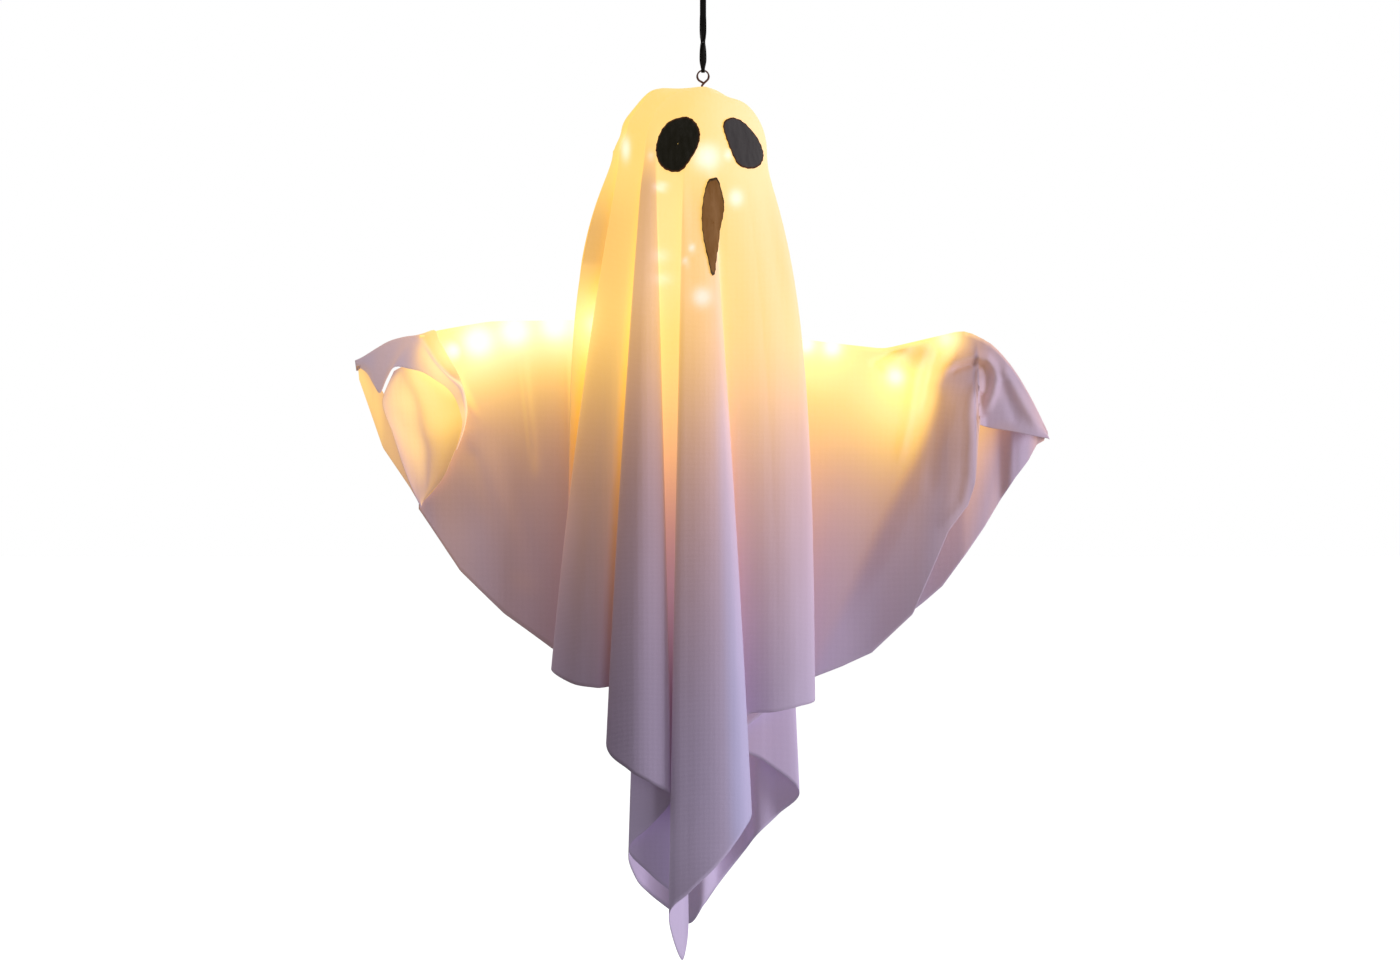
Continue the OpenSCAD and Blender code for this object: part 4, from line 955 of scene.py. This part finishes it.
tube = wire[:, None] + radius[:, None, None] * (side[:, None] * np.cos(q) + over[:, None] * np.sin(q))
screw_eye = make_mesh("screw_eye_wire", [tube], [np.zeros(tube.shape)], BRONZE, 0)
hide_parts("screw_eye")
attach(screw_eye, "ghost")

# finishes of the pieces that stay as the model has them
FINISH = {
    "foam": plain("foam_ball", (0.72, 0.72, 0.7), (0.84, 0.84, 0.81), 0.9, 0.0, 240, 0.0012),
    "dowel": plain("beech_dowel", (0.45, 0.29, 0.15), (0.62, 0.44, 0.26), 0.6, 0.0, 130, 0.0004,
                   (1, 1, 0.06)),
    "white_plastic": plain("white_plastic", (0.66, 0.66, 0.64), (0.76, 0.76, 0.74), 0.45, 0.0, 120, 0.0002),
    "steel_wire": plain("steel_wire", (0.32, 0.33, 0.35), (0.5, 0.51, 0.53), 0.3, 1.0, 200),
    "copper_wire": plain("copper_wire", (0.55, 0.3, 0.12), (0.78, 0.47, 0.22), 0.3, 1.0, 300),
    "tie": plain("tie_plastic", (0.05, 0.05, 0.05), (0.1, 0.1, 0.1), 0.5, 0.0, 150, 0.0002),
    "black_plastic": plain("black_plastic", (0.02, 0.02, 0.022), (0.035, 0.035, 0.038), 0.5, 0.0, 700,
                           0.0004),
    "battery_skin": plain("battery_skin", (0.05, 0.2, 0.1), (0.09, 0.3, 0.15), 0.35, 0.0, 60, 0.0002),
    "contact_metal": plain("contact_metal", (0.5, 0.5, 0.51), (0.68, 0.68, 0.7), 0.28, 1.0, 200),
    "switch_plastic": plain("switch_plastic", (0.3, 0.3, 0.31), (0.42, 0.42, 0.43), 0.5, 0.0, 200, 0.0002),
    "rubber": plain("rubber", (0.015, 0.015, 0.015), (0.04, 0.04, 0.04), 0.75, 0.0, 200, 0.0004),
    "led_resin": plain("led_resin", (0.9, 0.72, 0.36), (1.0, 0.88, 0.6), 0.2, 0.0, 200, 0.0002,
                       Emission_Color=(1.0, 0.75, 0.35, 1), Emission_Strength=4.0),
}
SLOTS = {
    "foam": ["head_ball"], "dowel": ["stem"],
    "white_plastic": ["shoulder_hub", "left_arm_ball", "right_arm_ball"],
    "steel_wire": ["left_arm_wire", "right_arm_wire"],
    "copper_wire": ["head_strand", "left_lead", "right_lead", "left_strand", "right_strand"],
    "led_resin": ["head_leds", "left_leds", "right_leds"], "tie": ["left_ties", "right_ties"],
    "black_plastic": ["battery_case", "battery_cover"], "battery_skin": ["batteries"],
    "contact_metal": ["contact_springs", "contact_plates"], "switch_plastic": ["switch_body", "switch_knob"],
    "rubber": ["lead_grommets"],
}
for slot, names in SLOTS.items():
    for name in names:
        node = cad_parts[name]
        node.data.materials.clear()
        node.data.materials.append(FINISH[slot])

# camera, floor and light
camera = bpy.data.cameras.new("camera")
camera.sensor_width = 36
camera.lens = camera.sensor_width * CAMERA_AWAY / (PIXEL * IMAGE_WIDTH)
camera.clip_end = 50
view = add_object("camera", camera)
view.location = (CAMERA_X * MM, -CAMERA_AWAY * MM, CAMERA_Z * MM)
view.rotation_euler = (math.pi / 2, 0, 0)
bpy.context.scene.camera = view

# half the floor's width and its height, in metres
FLOOR = 20
FLOOR_Z = -1.1
corners = [(-FLOOR, -FLOOR, 0), (FLOOR, -FLOOR, 0), (FLOOR, FLOOR, 0), (-FLOOR, FLOOR, 0)]
floor_mesh = bpy.data.meshes.new("floor")
floor_mesh.from_pydata(corners, [], [(0, 1, 2, 3)])
floor = add_object("floor", floor_mesh)
floor.location = (0, 0, FLOOR_Z)
floor_material = new_material(
    "floor", (0.9, 0.9, 0.9), 0.9, 0.0, Emission_Color=(1, 1, 1, 1), Emission_Strength=0.9)[0]
floor_mesh.materials.append(floor_material)
floor.visible_diffuse = False
floor.visible_glossy = False

# light of the room on the object, and white where the camera, metal or glass sees the background
AMBIENT = 0.12
WHITE = 1.0
world = bpy.data.worlds.new("studio")
world.use_nodes = True
bpy.context.scene.world = world
nodes, links = world.node_tree.nodes, world.node_tree.links
background = nodes["Background"]
path = nodes.new("ShaderNodeLightPath")
mix = nodes.new("ShaderNodeMix")
mix.data_type = "FLOAT"
mix.inputs[2].default_value = AMBIENT
mix.inputs[3].default_value = WHITE
seen = path.outputs["Is Camera Ray"]
for kind in ("Is Glossy Ray", "Is Transmission Ray"):
    either = nodes.new("ShaderNodeMath")
    either.operation = "MAXIMUM"
    links.new(seen, either.inputs[0])
    links.new(path.outputs[kind], either.inputs[1])
    seen = either.outputs["Value"]
links.new(seen, mix.inputs[0])
links.new(mix.outputs[0], background.inputs["Strength"])
background.inputs["Color"].default_value = (1, 1, 1, 1)


def area_light(name, place, target, size, power, colour):
    """A square light of a size in metres and a power in watts, turned to its target."""
    data = bpy.data.lights.new(name, "AREA")
    data.energy = power
    data.size = size
    data.color = colour
    obj = add_object(name, data)
    obj.location = place
    obj.rotation_euler = (Vector(target) - Vector(place)).to_track_quat("-Z", "Y").to_euler()


area_light("key", (2.8, -1.1, -0.2), (0, 0, -0.5), 1.5, 53, (0.94, 0.98, 1.0))
area_light("fill", (1.2, -2.4, -0.8), (0, 0, -0.5), 1.5, 7, (0.98, 0.97, 1.0))
area_light("top", (-0.5, -0.3, 1.6), (-0.1, 0, -0.5), 0.8, 6, (1.0, 0.98, 1.0))
area_light("back", (0.5, 1.8, 0.3), (0, 0, -0.5), 1.5, 8, (1.0, 1.0, 1.0))

bpy.context.scene.view_settings.view_transform = "Standard"
